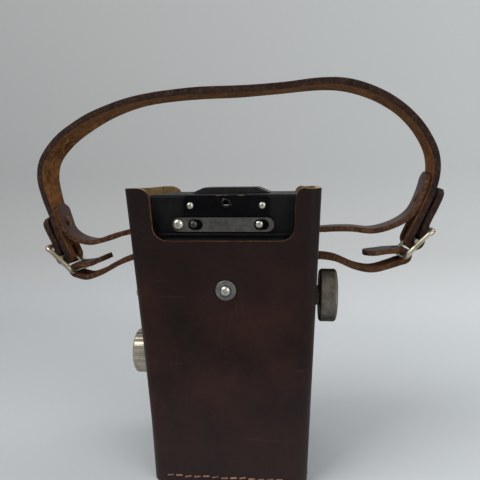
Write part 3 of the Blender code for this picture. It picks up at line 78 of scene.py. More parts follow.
# each side's leathers as (x, z) along their middles, and the buckle's lean and bow in degrees
LEFT = {
    "bar": (-0.0892, 0.1115), "lean": -52.0, "bow": 16.0,
    "hang": [(-0.0934, 0.1335), (-0.0904, 0.1225)],
    "tail": [(-0.0925, 0.1172), (-0.0955, 0.1250), (-0.0980, 0.1318)],
    "upper": [(-0.0917, 0.1388), (-0.0907, 0.1345), (-0.0894, 0.1297), (-0.0886, 0.1266),
              (-0.0861, 0.1232), (-0.0815, 0.1204), (-0.0750, 0.1190), (-0.0690, 0.1200),
              (-0.0600, 0.1230), (-0.0510, 0.1252)],
    "lower": [(-0.0519, 0.1116), (-0.0607, 0.1083), (-0.0694, 0.1036), (-0.0778, 0.1006)],
    "tongue": [(-0.0764, 0.1078), (-0.0716, 0.1096), (-0.0659, 0.1118)],
}
RIGHT = {
    "bar": (0.0892, 0.1205), "lean": -122.0, "bow": 24.0,
    "hang": [(0.0966, 0.1520), (0.0948, 0.1430), (0.0906, 0.1315)],
    "tail": [(0.0937, 0.1285), (0.0971, 0.1365), (0.1004, 0.1452)],
    "upper": [(0.0939, 0.1530), (0.0932, 0.1496), (0.0923, 0.1452), (0.0910, 0.1410),
              (0.0896, 0.1372), (0.0870, 0.1332), (0.0820, 0.1294), (0.0750, 0.1265),
              (0.0680, 0.1253), (0.0595, 0.1262), (0.0510, 0.1262)],
    "lower": [(0.0520, 0.1112), (0.0611, 0.1073), (0.0700, 0.1058), (0.0789, 0.1082)],
    "tongue": [(0.0762, 0.1150), (0.0712, 0.1142), (0.0655, 0.1140)],
}
OVER_HEAD = [(-0.0959, 0.1440), (-0.0967, 0.1530), (-0.0940, 0.1615), (-0.0864, 0.1699),
             (-0.0772, 0.1763), (-0.0640, 0.1829), (-0.0450, 0.1885), (-0.0195, 0.1911),
             (0.0040, 0.1916), (0.0235, 0.1925), (0.0420, 0.1938), (0.0545, 0.1930),
             (0.0670, 0.1892), (0.0780, 0.1832), (0.0867, 0.1755), (0.0928, 0.1670),
             (0.0958, 0.1600)]

# ---- how the leather, thread and fibres are worked ---------------------------------
HAIR = 0.0001                          # tells a point on a face from one beside it
CUT_THROUGH = 0.012                    # a cutter's length, well past the leather
SPREAD, SPREAD_FROM = 0.0036, 0.030    # how far the left wall leans out, and from what height
KNOB_HOLE, WHEEL_HOLE, PIN_HOLE, SCREW_HOLE, TRIPOD_HOLE = 0.0142, 0.0127, 0.0034, 0.0018, 0.0054
SLOT_HEIGHT = 0.0033
FLOOR_SLACK = 0.0002
STITCH_Z, STITCH_PITCH, STITCH_LENGTH, STITCH_RADIUS = 0.0042, 0.0046, 0.0027, 0.00045
STITCH_LIFT = 0.00005
STRAP_PITCH, STRAP_ROWS = 0.0016, 8    # the grid that a strap is laid from
BAR_GAP = 0.0001
FIBRES, FIBRE_RADIUS = 420, 0.00016
FIBRE_PITCH = 0.0008


# ---- modelling helpers ------------------------------------------------------------
def rest():
    """Back to object mode with nothing selected."""
    if bpy.context.object and bpy.context.object.mode != "OBJECT":
        bpy.ops.object.mode_set(mode="OBJECT")
    bpy.ops.object.select_all(action="DESELECT")


def begin(name):
    """Take the primitive just added as a new piece and open it for editing."""
    piece = bpy.context.object
    piece.name = piece.data.name = name
    bpy.ops.object.transform_apply(location=True, rotation=True, scale=True)
    bpy.ops.object.mode_set(mode="EDIT")
    return piece


def pick(piece, kind, test):
    """Select the vertices, edges or faces whose middle passes a test."""
    shape = bmesh.from_edit_mesh(piece.data)
    bpy.ops.mesh.select_mode(type=kind)
    bpy.ops.mesh.select_all(action="DESELECT")
    for item in {"VERT": shape.verts, "EDGE": shape.edges, "FACE": shape.faces}[kind]:
        if kind == "VERT":
            good = test(item.co)
        elif kind == "EDGE":
            good = test(item.verts[0].co, item.verts[1].co)
        else:
            good = test(item.calc_center_median(), item.normal)
        if good:
            item.select_set(True)
    shape.select_flush_mode()
    bmesh.update_edit_mesh(piece.data)


def move_points(piece, where):
    """Put each vertex of the piece being edited where a function says."""
    shape = bmesh.from_edit_mesh(piece.data)
    for vert in shape.verts:
        vert.co = where(vert.co)
    bmesh.update_edit_mesh(piece.data)


def modify(piece, kind, **settings):
    """Add a modifier and apply it."""
    rest()
    bpy.context.view_layer.objects.active = piece
    piece.select_set(True)
    change = piece.modifiers.new(kind.lower(), kind)
    for key, value in settings.items():
        setattr(change, key, value)
    bpy.ops.object.modifier_apply(modifier=change.name)
    return piece


def even_out(piece):
    """Merge doubles and point all faces outwards."""
    rest()
    bpy.context.view_layer.objects.active = piece
    piece.select_set(True)
    bpy.ops.object.mode_set(mode="EDIT")
    bpy.ops.mesh.select_all(action="SELECT")
    bpy.ops.mesh.remove_doubles(threshold=0.00001)
    bpy.ops.mesh.normals_make_consistent(inside=False)
    rest()


def paint(piece, looks):
    """Give a piece its material slots, before its sheet gets a second side and an edge."""
    for look in looks:
        piece.data.materials.append(look)


def dress(piece, body, replaces=(), smooth=40):
    """Give a finished piece its shading and body, and hide the parts it replaces.

    A piece that is blended across a joint is given no body here.
    """
    rest()
    bpy.context.view_layer.objects.active = piece
    piece.select_set(True)
    bpy.ops.object.shade_smooth_by_angle(angle=math.radians(smooth))
    if body:
        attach(piece, body)
    if replaces:
        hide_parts(*replaces)


def join_pieces(first, others, name):
    """One piece out of several."""
    rest()
    for item in others:
        item.select_set(True)
    first.select_set(True)
    bpy.context.view_layer.objects.active = first
    bpy.ops.object.join()
    first.name = first.data.name = name
    return first


def copy_piece(piece, name, place):
    """A copy with its own mesh, moved by a matrix."""
    made = piece.copy()
    made.data = piece.data.copy()
    made.name = made.data.name = name
    bpy.context.scene.collection.objects.link(made)
    made.data.transform(place)
    return made


def lathe(name, profile, axis_at, steps):
    """A turned piece that faces -Y: a point drawn out along (radius, height), then spun."""
    rest()
    bpy.ops.mesh.primitive_plane_add(size=0.001)
    piece = begin(name)
    bpy.ops.mesh.select_mode(type="VERT")
    bpy.ops.mesh.select_all(action="SELECT")
    bpy.ops.mesh.merge(type="CENTER")
    move_points(piece, lambda co: Vector((profile[0][0], 0, profile[0][1])))
    here = Vector((profile[0][0], 0, profile[0][1]))
    for radius, height in profile[1:]:
        there = Vector((radius, 0, height))
        bpy.ops.mesh.extrude_vertices_move(TRANSFORM_OT_translate={"value": there - here})
        here = there
    bpy.ops.mesh.select_all(action="SELECT")
    bpy.ops.mesh.spin(steps=steps, angle=2 * math.pi, center=(0, 0, 0), axis=(0, 0, 1))
    rest()
    even_out(piece)
    piece.data.transform(Matrix.Translation(axis_at) @ Matrix.Rotation(math.pi / 2, 4, "X"))
    return piece


def arc(centre, radius, start, end, count):
    """Points round part of a circle, from one angle in degrees to another."""
    turn = [math.radians(start + (end - start) * i / count) for i in range(count + 1)]
    return [(centre[0] + radius * math.cos(a), centre[1] + radius * math.sin(a)) for a in turn]


def smooth_path(points, steps=8):
    """A smooth curve through the given points."""
    padded = [points[0]] + list(points) + [points[-1]]
    route = []
    for a, b, c, d in zip(padded, padded[1:], padded[2:], padded[3:]):
        for step in range(steps):
            t = step / steps
            route.append(tuple(
                0.5 * (2 * q + (r - p) * t + (2 * p - 5 * q + 4 * r - s) * t * t
                       + (3 * q - p - 3 * r + s) * t ** 3)
                for p, q, r, s in zip(a, b, c, d)))
    route.append(tuple(points[-1]))
    return route


def evenly(route, pitch):
    """The same route with its points a fixed distance apart."""
    lengths = [0.0]
    for a, b in zip(route, route[1:]):
        lengths.append(lengths[-1] + math.dist(a, b))
    count = max(2, round(lengths[-1] / pitch))
    spaced = []
    j = 0
    for i in range(count + 1):
        want = lengths[-1] * i / count
        while j < len(route) - 2 and lengths[j + 1] < want:
            j += 1
        share = (want - lengths[j]) / max(lengths[j + 1] - lengths[j], 1e-9)
        spaced.append(tuple(p + (q - p) * share for p, q in zip(route[j], route[j + 1])))
    return spaced, lengths[-1]


def lay_leather(name, looks, route, thick, width, flip, tips, ripple, twist=None):
    """A strap: a grid laid along a route in the XZ plane, given thickness and soft edges.

    Its first material is the grain side, its second the flesh side, its third the edge.
    flip is 1 or -1, for the side that the grain is on. tips are the lengths over which the
    ends are rounded, and ripple is how far the leather wanders off its route.
    """
    points, length = evenly(route, STRAP_PITCH)
    last = len(points) - 1
    rest()
    bpy.ops.mesh.primitive_grid_add(x_subdivisions=last, y_subdivisions=STRAP_ROWS, size=1.0)
    piece = begin(name)

    def place(co):
        share = co.x + 0.5
        i = min(last, max(0, round(share * last)))
        a = Vector(points[max(i - 1, 0)])
        b = Vector(points[min(i + 1, last)])
        along = (b - a).normalized()
        up = Vector((-along.y, along.x)) * flip
        narrow = 1.0
        run_in = share * length
        for tip, run in zip(tips, (run_in, length - run_in)):
            if run < tip:
                narrow = min(narrow, max(0.32, math.sqrt(1 - (1 - run / tip) ** 2)))
        side = co.y * 2
        wander = ripple * math.sin(run_in / 0.011 + side * 1.3) * (0.4 + abs(side))
        x = points[i][0] + up.x * wander
        z = points[i][1] + up.y * wander
        edge = 1 + 0.012 * math.sin(run_in / 0.0071) + 0.008 * math.sin(run_in / 0.0029)
        y = flip * co.y * width * narrow * edge
        lean = twist(x, z) if twist else 0.0
        return Vector((x + lean * y, y, z))

    move_points(piece, place)
    paint(piece, looks)
    modify(piece, "SOLIDIFY", thickness=thick, offset=0, use_even_offset=False,
           material_offset=1, material_offset_rim=2)
    modify(piece, "BEVEL", width=thick * 0.26, segments=2, limit_method="ANGLE",
           angle_limit=math.radians(50))
    return modify(piece, "SUBSURF", levels=1, render_levels=1)


def bool_cut(piece, *tools):
    """Take closed shapes out of a piece, and remove them."""
    for tool in tools:
        modify(piece, "BOOLEAN", operation="DIFFERENCE", solver="EXACT", object=tool)
        bpy.data.objects.remove(tool)


def cutter_rod(facing, centre, radius, length):
    """A round cutter centred on a point."""
    rest()
    turn = {"X": (0, math.pi / 2, 0), "Y": (math.pi / 2, 0, 0), "Z": (0, 0, 0)}[facing]
    bpy.ops.mesh.primitive_cylinder_add(vertices=48, radius=radius, depth=length,
                                        location=centre, rotation=turn)
    return bpy.context.object


def cutter_box(centre, size):
    """A square cutter centred on a point."""
    rest()
    bpy.ops.mesh.primitive_cube_add(size=1.0, location=centre, scale=size)
    bpy.ops.object.transform_apply(location=True, rotation=True, scale=True)
    return bpy.context.object


# ---- materials --------------------------------------------------------------------
def linear(colour):
    """A colour written as 0 to 255, as the scene's own values."""
    return tuple((c / 255 / 12.92 if c <= 10 else ((c / 255 + 0.055) / 1.055) ** 2.4)
                 for c in colour) + (1.0,)


class Look:
    """A Principled material with short ways to add its procedural nodes."""

    def __init__(self, name, roughness, metallic=0.0, **uniform):
        self.made = bpy.data.materials.new(name)
        self.made.use_nodes = True
        self.tree = self.made.node_tree
        self.shader = self.tree.nodes["Principled BSDF"]
        self.shader.inputs["Metallic"].default_value = metallic
        self.shader.inputs["Roughness"].default_value = roughness
        for key, value in uniform.items():
            self.shader.inputs[key.replace("_", " ")].default_value = value
        self.where = self.node("ShaderNodeTexCoord").outputs["Object"]

    def node(self, kind, inputs=None, **settings):
        """One node; an input is either a value or another node's output."""
        made = self.tree.nodes.new(kind)
        for key, value in settings.items():
            setattr(made, key, value)
        for key, value in (inputs or {}).items():
            if isinstance(value, bpy.types.NodeSocket):
                self.tree.links.new(value, made.inputs[key])
            else:
                made.inputs[key].default_value = value
        return made

    def stretched(self, scale, turn=(0, 0, 0)):
        """The piece's own coordinates, scaled and turned."""
        return self.node("ShaderNodeMapping", {"Vector": self.where, "Scale": scale,
                                               "Rotation": turn}).outputs["Vector"]

    def noise(self, scale, detail=4.0, rough=0.55, where=None, warp=0.0):
        return self.node("ShaderNodeTexNoise",
                         {"Vector": where or self.where, "Scale": scale, "Detail": detail,
                          "Roughness": rough, "Distortion": warp}).outputs["Fac"]

    def cells(self, scale):
        """Round grains."""
        return self.node("ShaderNodeTexVoronoi", {"Vector": self.where, "Scale": scale},
                         feature="SMOOTH_F1").outputs["Distance"]

    def span(self, value, low, high, start=0.0, end=1.0):
        """A value's run from low to high, as a run from start to end."""
        return self.node("ShaderNodeMapRange",
                         {"Value": value, "From Min": low, "From Max": high, "To Min": start,
                          "To Max": end}, clamp=True).outputs["Result"]

    def maths(self, operation, a, b):
        return self.node("ShaderNodeMath", {0: a, 1: b}, operation=operation).outputs[0]

    def blend(self, share, first, second):
        """A share of the second colour over the first."""
        made = self.node("ShaderNodeMix", {0: share, 6: first, 7: second}, data_type="RGBA")
        return made.outputs[2]

    def axis(self, letter):
        return self.node("ShaderNodeSeparateXYZ", {0: self.where}).outputs[letter]

    def away(self, point):
        """The distance from a point."""
        return self.node("ShaderNodeVectorMath", {0: self.where, 1: point},
                         operation="DISTANCE").outputs["Value"]

    def colour(self, value):
        self.tree.links.new(value, self.shader.inputs["Base Color"])

    def rough(self, value, low, high, start=0.3, end=0.7):
        """Roughness from low to high as the value runs from start to end."""
        self.tree.links.new(self.span(value, start, end, low, high),
                            self.shader.inputs["Roughness"])

    def bump(self, *heights):
        """Each height is (value, depth in metres)."""
        normal = None
        for value, depth in heights:
            inputs = {"Height": value, "Distance": depth, "Strength": 1.0}
            if normal:
                inputs["Normal"] = normal
            normal = self.node("ShaderNodeBump", inputs).outputs["Normal"]
        self.tree.links.new(normal, self.shader.inputs["Normal"])


def grain_leather(name, dark, mid, worn, on_case=False):
    """Smooth finished leather: fine pores, cloudy dye, scuffs and small scratches.

    On the case it is drier, with painted shade darkening it towards the top and a painted floor
    reflection lightening it towards the foot, and it is creased where the left ear bends.
    """
    look = Look(name, 0.45, Specular_IOR_Level=0.17 if on_case else 0.24)
    cloud = look.noise(38, 5, 0.6)
    patch = look.noise(13, 3, 0.5)
    fine = look.noise(620, 4, 0.6)
    scuff = look.noise(95, 8, 0.75, look.stretched((1, 1, 0.35)))
    scratch = look.noise(160, 3, 0.5, look.stretched((0.16, 1, 3.2), (0, 0.5, 0)))
    base = look.blend(look.span(cloud, 0.36, 0.66), linear(dark), linear(mid))
    base = look.blend(look.span(patch, 0.42, 0.72, 0, 0.55), base, linear(dark))
    base = look.blend(look.span(scuff, 0.60, 0.72, 0, 0.5), base, linear(worn))
    base = look.blend(look.span(scratch, 0.70, 0.74, 0, 0.45), base, linear(worn))
    base = look.blend(look.span(fine, 0.35, 0.62, 0.22, 0), base, linear(dark))
    if on_case:
        height = look.axis("Z")
        # painted shade: the case darkens and reddens towards the top, where less floor light is
        # reflected
        base = look.blend(look.span(height, 0.085, 0.140, 0, 0.8), base, linear((20, 8, 6)))
        # painted reflection: the case is lightened and greyed towards the foot, standing in for
        # the floor's reflection
        base = look.blend(look.span(height, 0.005, 0.075, 0.34, 0), base, linear((62, 50, 51)))
    look.colour(base)
    look.rough(scuff, 0.40, 0.62, 0.4, 0.7)
    heights = [(look.cells(1150), 0.00005), (look.noise(420, 5, 0.6), 0.00007),
               (look.noise(60, 4, 0.5), 0.00035)]
    if on_case:
        ring = look.away((-0.027, -CASE_HALF_DEPTH, 0.150))
        wave = look.maths("SINE", look.maths("MULTIPLY", ring, 2100.0), 0.0)
        bend = look.span(look.away((-0.037, -CASE_HALF_DEPTH, 0.1275)), 0.003, 0.012, 1.0, 0.0)
        heights.append((look.maths("MULTIPLY", wave, bend), 0.00007))
    look.bump(*heights)
    return look.made


def suede(name, dark, mid, light):
    """The flesh side of leather: short nap, blotched with handling."""
    look = Look(name, 0.95, Specular_IOR_Level=0.08)
    nap = look.noise(900, 6, 0.75)
    tuft = look.noise(330, 6, 0.7, warp=0.6)
    blotch = look.noise(75, 5, 0.6)
    base = look.blend(look.span(blotch, 0.36, 0.62), linear(dark), linear(mid))
    base = look.blend(look.span(tuft, 0.45, 0.68, 0, 0.75), base, linear(light))
    base = look.blend(look.span(nap, 0.40, 0.66, 0.45, 0), base, linear(dark))
    look.colour(base)
    look.bump((nap, 0.00025), (tuft, 0.00045))
    return look.made


def cut_edge(name, dark, mid, light, paler_above=None):
    """The sawn edge of leather: layered and fuzzy, and paler above a height."""
    look = Look(name, 0.8, Specular_IOR_Level=0.2)
    layers = look.noise(700, 5, 0.7)
    long = look.noise(150, 5, 0.65)
    base = look.blend(look.span(long, 0.35, 0.65), linear(dark), linear(mid))
    base = look.blend(look.span(layers, 0.48, 0.70, 0, 0.8), base, linear(light))
    # paler towards the top of the rim, above the given height
    if paler_above:
        paler_share = look.span(look.axis("Z"), paler_above, paler_above + 0.0016, 0, 0.8)
        base = look.blend(paler_share, base, linear((184, 160, 128)))
    look.colour(base)
    look.bump((layers, 0.0003), (long, 0.0004))
    return look.made


def metal(name, colour, tarnish, low, high, scratch=0.00002, grime=0.5, stretch=(1, 1, 1)):
    """Worn plated metal: cloudy tarnish, dark specks and fine scratches."""
    look = Look(name, low, 1.0)
    cloud = look.noise(210, 5, 0.65)
    speck = look.noise(1500, 3, 0.6)
    lines = look.noise(900, 4, 0.6, look.stretched(stretch))
    base = look.blend(look.span(cloud, 0.38, 0.70), linear(colour), linear(tarnish))
    base = look.blend(look.span(speck, 0.60, 0.72, 0, grime), base, linear((26, 23, 19)))
    look.colour(base)
    look.rough(look.maths("ADD", cloud, look.maths("MULTIPLY", lines, 0.35)), low, high, 0.5, 0.95)
    look.bump((lines, scratch), (cloud, scratch * 3))
    return look.made


def enamel(name, dark, light, low=0.26, high=0.5, pebble=0.00001, chips=False, gloss=0.18):
    """Black paint with dust in its pores. With chips, its top edge is rubbed to brass."""
    look = Look(name, low, 0.0, Specular_IOR_Level=gloss)
    cloud = look.noise(120, 5, 0.6)
    speck = look.noise(1700, 3, 0.6)
    base = look.blend(look.span(cloud, 0.4, 0.7), linear(dark), linear(light))
    base = look.blend(look.span(speck, 0.66, 0.74, 0, 0.5), base, linear((92, 90, 84)))
    if chips:
        edge = look.span(look.axis("Z"), PLATE_TOP - 0.0006, PLATE_TOP, 0, 0.42)
        worn = look.span(look.maths("ADD", look.noise(260, 3, 0.7), edge), 0.98, 1.02)
        base = look.blend(worn, base, linear((168, 132, 78)))
        look.tree.links.new(look.maths("MULTIPLY", worn, 0.85), look.shader.inputs["Metallic"])
    look.colour(base)
    look.rough(cloud, low, high)
    look.bump((look.noise(1000, 3, 0.6), 0.00002), (look.cells(900), pebble))
    return look.made


def clear_glass():
    """Coated lens glass, faintly violet, over a dark barrel."""
    look = Look("lens_glass", 0.03, 0.0, IOR=1.52, Coat_Weight=0.6, Coat_Roughness=0.02,
                Coat_Tint=(0.72, 0.66, 1.0, 1.0))
    dust = look.noise(1300, 3, 0.6)
    look.colour(look.blend(look.span(dust, 0.68, 0.78, 0, 0.4), linear((16, 17, 26)),
                           linear((120, 120, 124))))
    look.bump((dust, 0.000002))
    return look.made


def thread(name):
    """Waxed linen thread with its twist."""
    look = Look(name, 0.75, Specular_IOR_Level=0.25, Sheen_Weight=0.2)
    twist = look.node("ShaderNodeTexWave", {"Vector": look.stretched((1, 1, 1), (0, 0.7, 0)),
                                            "Scale": 620.0, "Distortion": 1.5}).outputs["Fac"]
    grime = look.noise(240, 4, 0.6)
    base = look.blend(look.span(grime, 0.4, 0.65), linear((176, 132, 108)), linear((112, 76, 60)))
    look.colour(look.blend(look.span(twist, 0, 1, 0.35, 0), base, linear((70, 46, 38))))
    look.bump((twist, 0.00015))
    return look.made


case_grain = grain_leather("case_grain", (22, 10, 7), (48, 24, 18), (78, 50, 42), on_case=True)
case_flesh = suede("case_flesh", (104, 84, 54), (146, 120, 80), (182, 154, 110))
case_edge = cut_edge("case_edge", (56, 28, 19), (98, 58, 38), (146, 104, 68), paler_above=0.1448)
strap_grain = grain_leather("strap_grain", (38, 18, 14), (58, 32, 25), (100, 68, 54))
strap_flesh = suede("strap_flesh", (80, 48, 26), (124, 81, 46), (166, 119, 72))
strap_edge = cut_edge("strap_edge", (25, 15, 12), (45, 28, 22), (82, 54, 38))
tab_grain = grain_leather("tab_grain", (50, 26, 21), (76, 44, 36), (120, 88, 76))
tab_flesh = suede("tab_flesh", (54, 32, 19), (92, 56, 30), (138, 92, 54))
tab_edge = cut_edge("tab_edge", (44, 26, 18), (82, 52, 33), (126, 86, 54))
nickel = metal("worn_nickel", (190, 184, 168), (142, 132, 112), 0.24, 0.46)
bright_nickel = metal("bright_nickel", (205, 202, 194), (160, 154, 140), 0.2, 0.4, grime=0.35)
buckle_metal = metal("buckle_nickel", (196, 190, 172), (136, 122, 94), 0.28, 0.5, 0.00004, 0.65)
zinc = metal("dull_zinc", (132, 134, 132), (84, 84, 80), 0.38, 0.6, 0.00003, 0.6)
steel = metal("latch_steel", (104, 102, 98), (70, 67, 62), 0.3, 0.52, 0.00003, 0.55,
              (0.2, 1, 2.5))
knob_metal = metal("knob_gunmetal", (118, 112, 100), (70, 64, 56), 0.34, 0.55, 0.00003, 0.7)
hood_metal = metal("hood_metal", (66, 66, 64), (44, 44, 42), 0.4, 0.6, 0.00004, 0.5)
brass = metal("aged_brass", (190, 150, 84), (120, 88, 44), 0.28, 0.5)
blackened = metal("blackened_steel", (42, 42, 44), (26, 26, 28), 0.5, 0.75, 0.00003, 0.3)
plate_enamel = enamel("plate_enamel", (4, 4, 6), (9, 9, 11), chips=True, gloss=0.06)
body_enamel = enamel("body_enamel", (10, 10, 11), (20, 20, 21), 0.34, 0.6, 0.00012, gloss=0.12)
door_enamel = enamel("door_enamel", (7, 7, 8), (16, 16, 17), 0.3, 0.55, 0.00003, gloss=0.08)
rivet_brass = metal("rivet_brass", (124, 98, 60), (70, 50, 30), 0.34, 0.58, 0.00003, 0.7)
bakelite = enamel("eyepiece_bakelite", (14, 12, 11), (26, 22, 20), 0.22, 0.4)
glass = clear_glass()
linen = thread("linen_thread")

# the part's own nodes, by finish, with those that a piece stands for among them
CAD_FINISHES = [
    (case_grain, "case_wrap case_bottom"),
    (strap_grain, "strap_main"),
    (strap_flesh, "strap_anchor_left strap_anchor_right"),
    (tab_grain, "strap_tab_left_upper strap_tab_right_upper"),
    (tab_flesh, "strap_tab_left_lower strap_tab_right_lower"),
    (buckle_metal, "buckle_left buckle_right buckle_prong_left buckle_prong_right"),
    (rivet_brass, "strap_rivet_left strap_rivet_right"),
    (zinc, "case_washer case_screw_plate"),
    (bright_nickel, "case_screw plate_screw_left plate_screw_right latch_guide_screw_right "
                    "latch_thumb_screw"),
    (nickel, "latch_guide_screw_left supply_pin_left supply_pin_right winder_plate "
             "winding_shaft ratchet_pawl spool_pull_pin focus_wheel focus_shaft "
             "lens_barrel_left lens_barrel_right aperture_ring_left aperture_ring_right "
             "release_lever"),
    (brass, "tripod_bush ratchet_wheel focus_pinion focus_rack"),
    (blackened, "pressure_plate film_gate light_septum film_bar_upper film_bar_lower "
                "shutter_plate shutter_blade take_up_spool"),
    (body_enamel, "body_shell front_cover lens_board"),
    (door_enamel, "back_door"),
    (plate_enamel, "finder_back_plate"),
    (bakelite, "finder_eyepiece"),
    (hood_metal, "finder_hood"),
    (steel, "latch_bar"),
    (knob_metal, "winding_knob"),
    (glass, "finder_window lens_glass_left lens_glass_right"),
]
for finish, labels in CAD_FINISHES:
    for label in labels.split():
        mesh = nodes[label].data
        mesh.materials.clear()
        mesh.materials.append(finish)


# ---- leather case -----------------------------------------------------------------
def case_half(z):
    """Half the case's width at a height."""
    return (CASE_WIDTH_BOTTOM + (CASE_WIDTH_TOP - CASE_WIDTH_BOTTOM) * z / CASE_HEIGHT) / 2


def flare(z):
    """How far the left wall has spread outwards at a height, from the strap's pull."""
    return SPREAD * max(0.0, (z - SPREAD_FROM) / (CASE_HEIGHT - SPREAD_FROM)) ** 1.25


def wall_out(sign, z):
    """The outer face of a side wall at a height."""
    return -(case_half(z) + flare(z)) if sign < 0 else case_half(z)


def round_border(co, corner, radius, into):
    """Lay a border point near a square corner onto its arc.

    into is the way, in x and z, from the corner to the arc's centre.
    """
    legs = ((co.x - corner[0]) * into[0], (co.z - corner[1]) * into[1])
    if abs(min(legs)) > 2 * HAIR or max(legs) > radius + HAIR:
        return co
    share = 45 * max(legs) / radius * (1 if legs[0] > legs[1] else -1)
    turn = math.radians(45 + share)
    centre = (corner[0] + into[0] * radius, corner[1] + into[1] * radius)
    return Vector((centre[0] - into[0] * radius * math.cos(turn), co.y,
                   centre[1] - into[1] * radius * math.sin(turn)))


def notch_corners(y_sign):
    """The corners of a broad face's window: where each is, its radius and its way in."""
    floor, radius = ((NOTCH_FLOOR, NOTCH_CORNER) if y_sign < 0 else (FRONT_FLOOR, FRONT_CORNER))
    for sign in (-1, 1):
        yield (sign * NOTCH_HALF, floor), radius, (-sign, 1)
        yield (sign * NOTCH_HALF, CASE_HEIGHT), EAR_CORNER, (sign, -1)


def build_case_shell():
    """The sewn leather tub, cut from a block: one sheet with its windows, then thickness."""
    half_w = CASE_WIDTH_TOP / 2
    rest()
    bpy.ops.mesh.primitive_cube_add(size=1.0, location=(0, 0, CASE_HEIGHT / 2),
                                    scale=(2 * half_w, 2 * CASE_HALF_DEPTH, CASE_HEIGHT))
    piece = begin("case_leather_shell")
    pick(piece, "EDGE", lambda a, b: abs(a.z - b.z) > 0.1)
    bpy.ops.mesh.bevel(offset=CASE_CORNER, segments=6, profile=0.5)
    pick(piece, "FACE", lambda c, n: abs(n.z) > 0.9)
    bpy.ops.mesh.delete(type="FACE")
    levels = ([0.003, 0.006, 0.010, 0.014, 0.019] + [FRONT_FLOOR + d for d in (0, 0.003, 0.006)]
              + [0.033 + 0.0045 * i for i in range(20)]
              + [NOTCH_FLOOR + d for d in (0, 0.0015, 0.003, 0.0045, 0.006, 0.0085)]
              + [0.1345, 0.1375, 0.1402] + [CASE_HEIGHT - d for d in (0.0045, 0.003, 0.0015)])
    columns = [NOTCH_HALF + d for d in (-0.009, -0.006, -0.0045, -0.003, -0.0015, 0, 0.0015,
                                        0.003, 0.0045)] + [0.0045 * i for i in range(5)]
    cuts = [((0, 0, z), (0, 0, 1)) for z in levels]
    cuts += [((s * x, 0, 0), (1, 0, 0)) for x in columns for s in ((1, -1) if x else (1,))]
    cuts += [((0, y * 0.0045, 0), (0, 1, 0)) for y in range(-6, 7)]
    for point, normal in cuts:
        bpy.ops.mesh.select_all(action="SELECT")
        bpy.ops.mesh.bisect(plane_co=point, plane_no=normal)
    for sign, floor in ((-1, NOTCH_FLOOR), (1, FRONT_FLOOR)):
        pick(piece, "FACE", lambda c, n: (c.y * sign > CASE_HALF_DEPTH - HAIR
                                          and abs(c.x) < NOTCH_HALF and c.z > floor))
        bpy.ops.mesh.delete(type="FACE")

    def shape(co):
        broad = abs(co.y) > CASE_HALF_DEPTH - HAIR
        if broad:
            for corner, radius, into in notch_corners(math.copysign(1, co.y)):
                co = round_border(co, corner, radius, into)
        x = co.x - math.copysign(half_w - case_half(co.z), co.x) if abs(co.x) > 1e-5 else co.x
        if co.x < -0.004:
            x -= flare(co.z) * min(1.0, (-co.x - 0.004) / 0.034)
        # the broad faces are a little hollow, and the rim wanders
        push = (0.00022 * math.sin(co.z * 61 + co.x * 40)
                + 0.00012 * math.sin(co.x * 190 + co.z * 90))
        y = co.y + (push if broad else 0)
        z = co.z
        if z > CASE_HEIGHT - HAIR:
            z += 0.00035 * math.sin(co.x * 210) * math.cos(co.y * 95) - 0.0003
        return Vector((x, y, z))

    move_points(piece, shape)
    paint(piece, [case_grain, case_flesh, case_edge])
    modify(piece, "SOLIDIFY", thickness=LEATHER, offset=-1, use_even_offset=True,
           material_offset=1, material_offset_rim=2)
    modify(piece, "BEVEL", width=0.0006, segments=2, limit_method="ANGLE",
           angle_limit=math.radians(50))
    modify(piece, "SUBSURF", levels=1, render_levels=1)
    tools = [cutter_rod("X", (0.040, *SPOOL_AXIS), KNOB_HOLE, CUT_THROUGH),
             cutter_rod("X", (-0.040, *FOCUS_AXIS), WHEEL_HOLE, CUT_THROUGH),
             cutter_rod("X", (-0.040, *SPOOL_AXIS), PIN_HOLE, CUT_THROUGH),
             cutter_rod("Y", (0, -CASE_HALF_DEPTH, CASE_SCREW_Z), SCREW_HOLE, CUT_THROUGH)]
    for z in (SLOT_UPPER, SLOT_LOWER):
        for sign in (-1, 1):
            tools.append(cutter_box((wall_out(sign, z) - sign * 0.001, 0, z),
                                    (0.010, TAB_WIDTH + 0.0014, SLOT_HEIGHT)))
    bool_cut(piece, *tools)
    dress(piece, "root", ["case_wrap"])


def build_case_floor():
    """The tub's floor: a flat piece inside the walls, with a pressed border and a hole."""
    inner_w = CASE_WIDTH_BOTTOM / 2 - LEATHER - FLOOR_SLACK
    inner_d = CASE_HALF_DEPTH - LEATHER - FLOOR_SLACK
    rest()
    bpy.ops.mesh.primitive_cube_add(size=1.0, location=(0, 0, LEATHER / 2),
                                    scale=(2 * inner_w, 2 * inner_d, LEATHER))
    piece = begin("case_leather_floor")
    pick(piece, "EDGE", lambda a, b: abs(a.z - b.z) > 0.001)
    bpy.ops.mesh.bevel(offset=CASE_CORNER - LEATHER, segments=5, profile=0.5)
    pick(piece, "FACE", lambda c, n: n.z < -0.9)
    bpy.ops.mesh.inset(thickness=0.0018, depth=0)
    bpy.ops.mesh.inset(thickness=0.0008, depth=-0.0004)
    modify(piece, "BEVEL", width=0.0003, segments=2, limit_method="ANGLE",
           angle_limit=math.radians(50))
    bool_cut(piece, cutter_rod("Z", (0, TRIPOD_Y, 0), TRIPOD_HOLE, CUT_THROUGH))
    paint(piece, [case_grain])
    dress(piece, "root", ["case_bottom"])


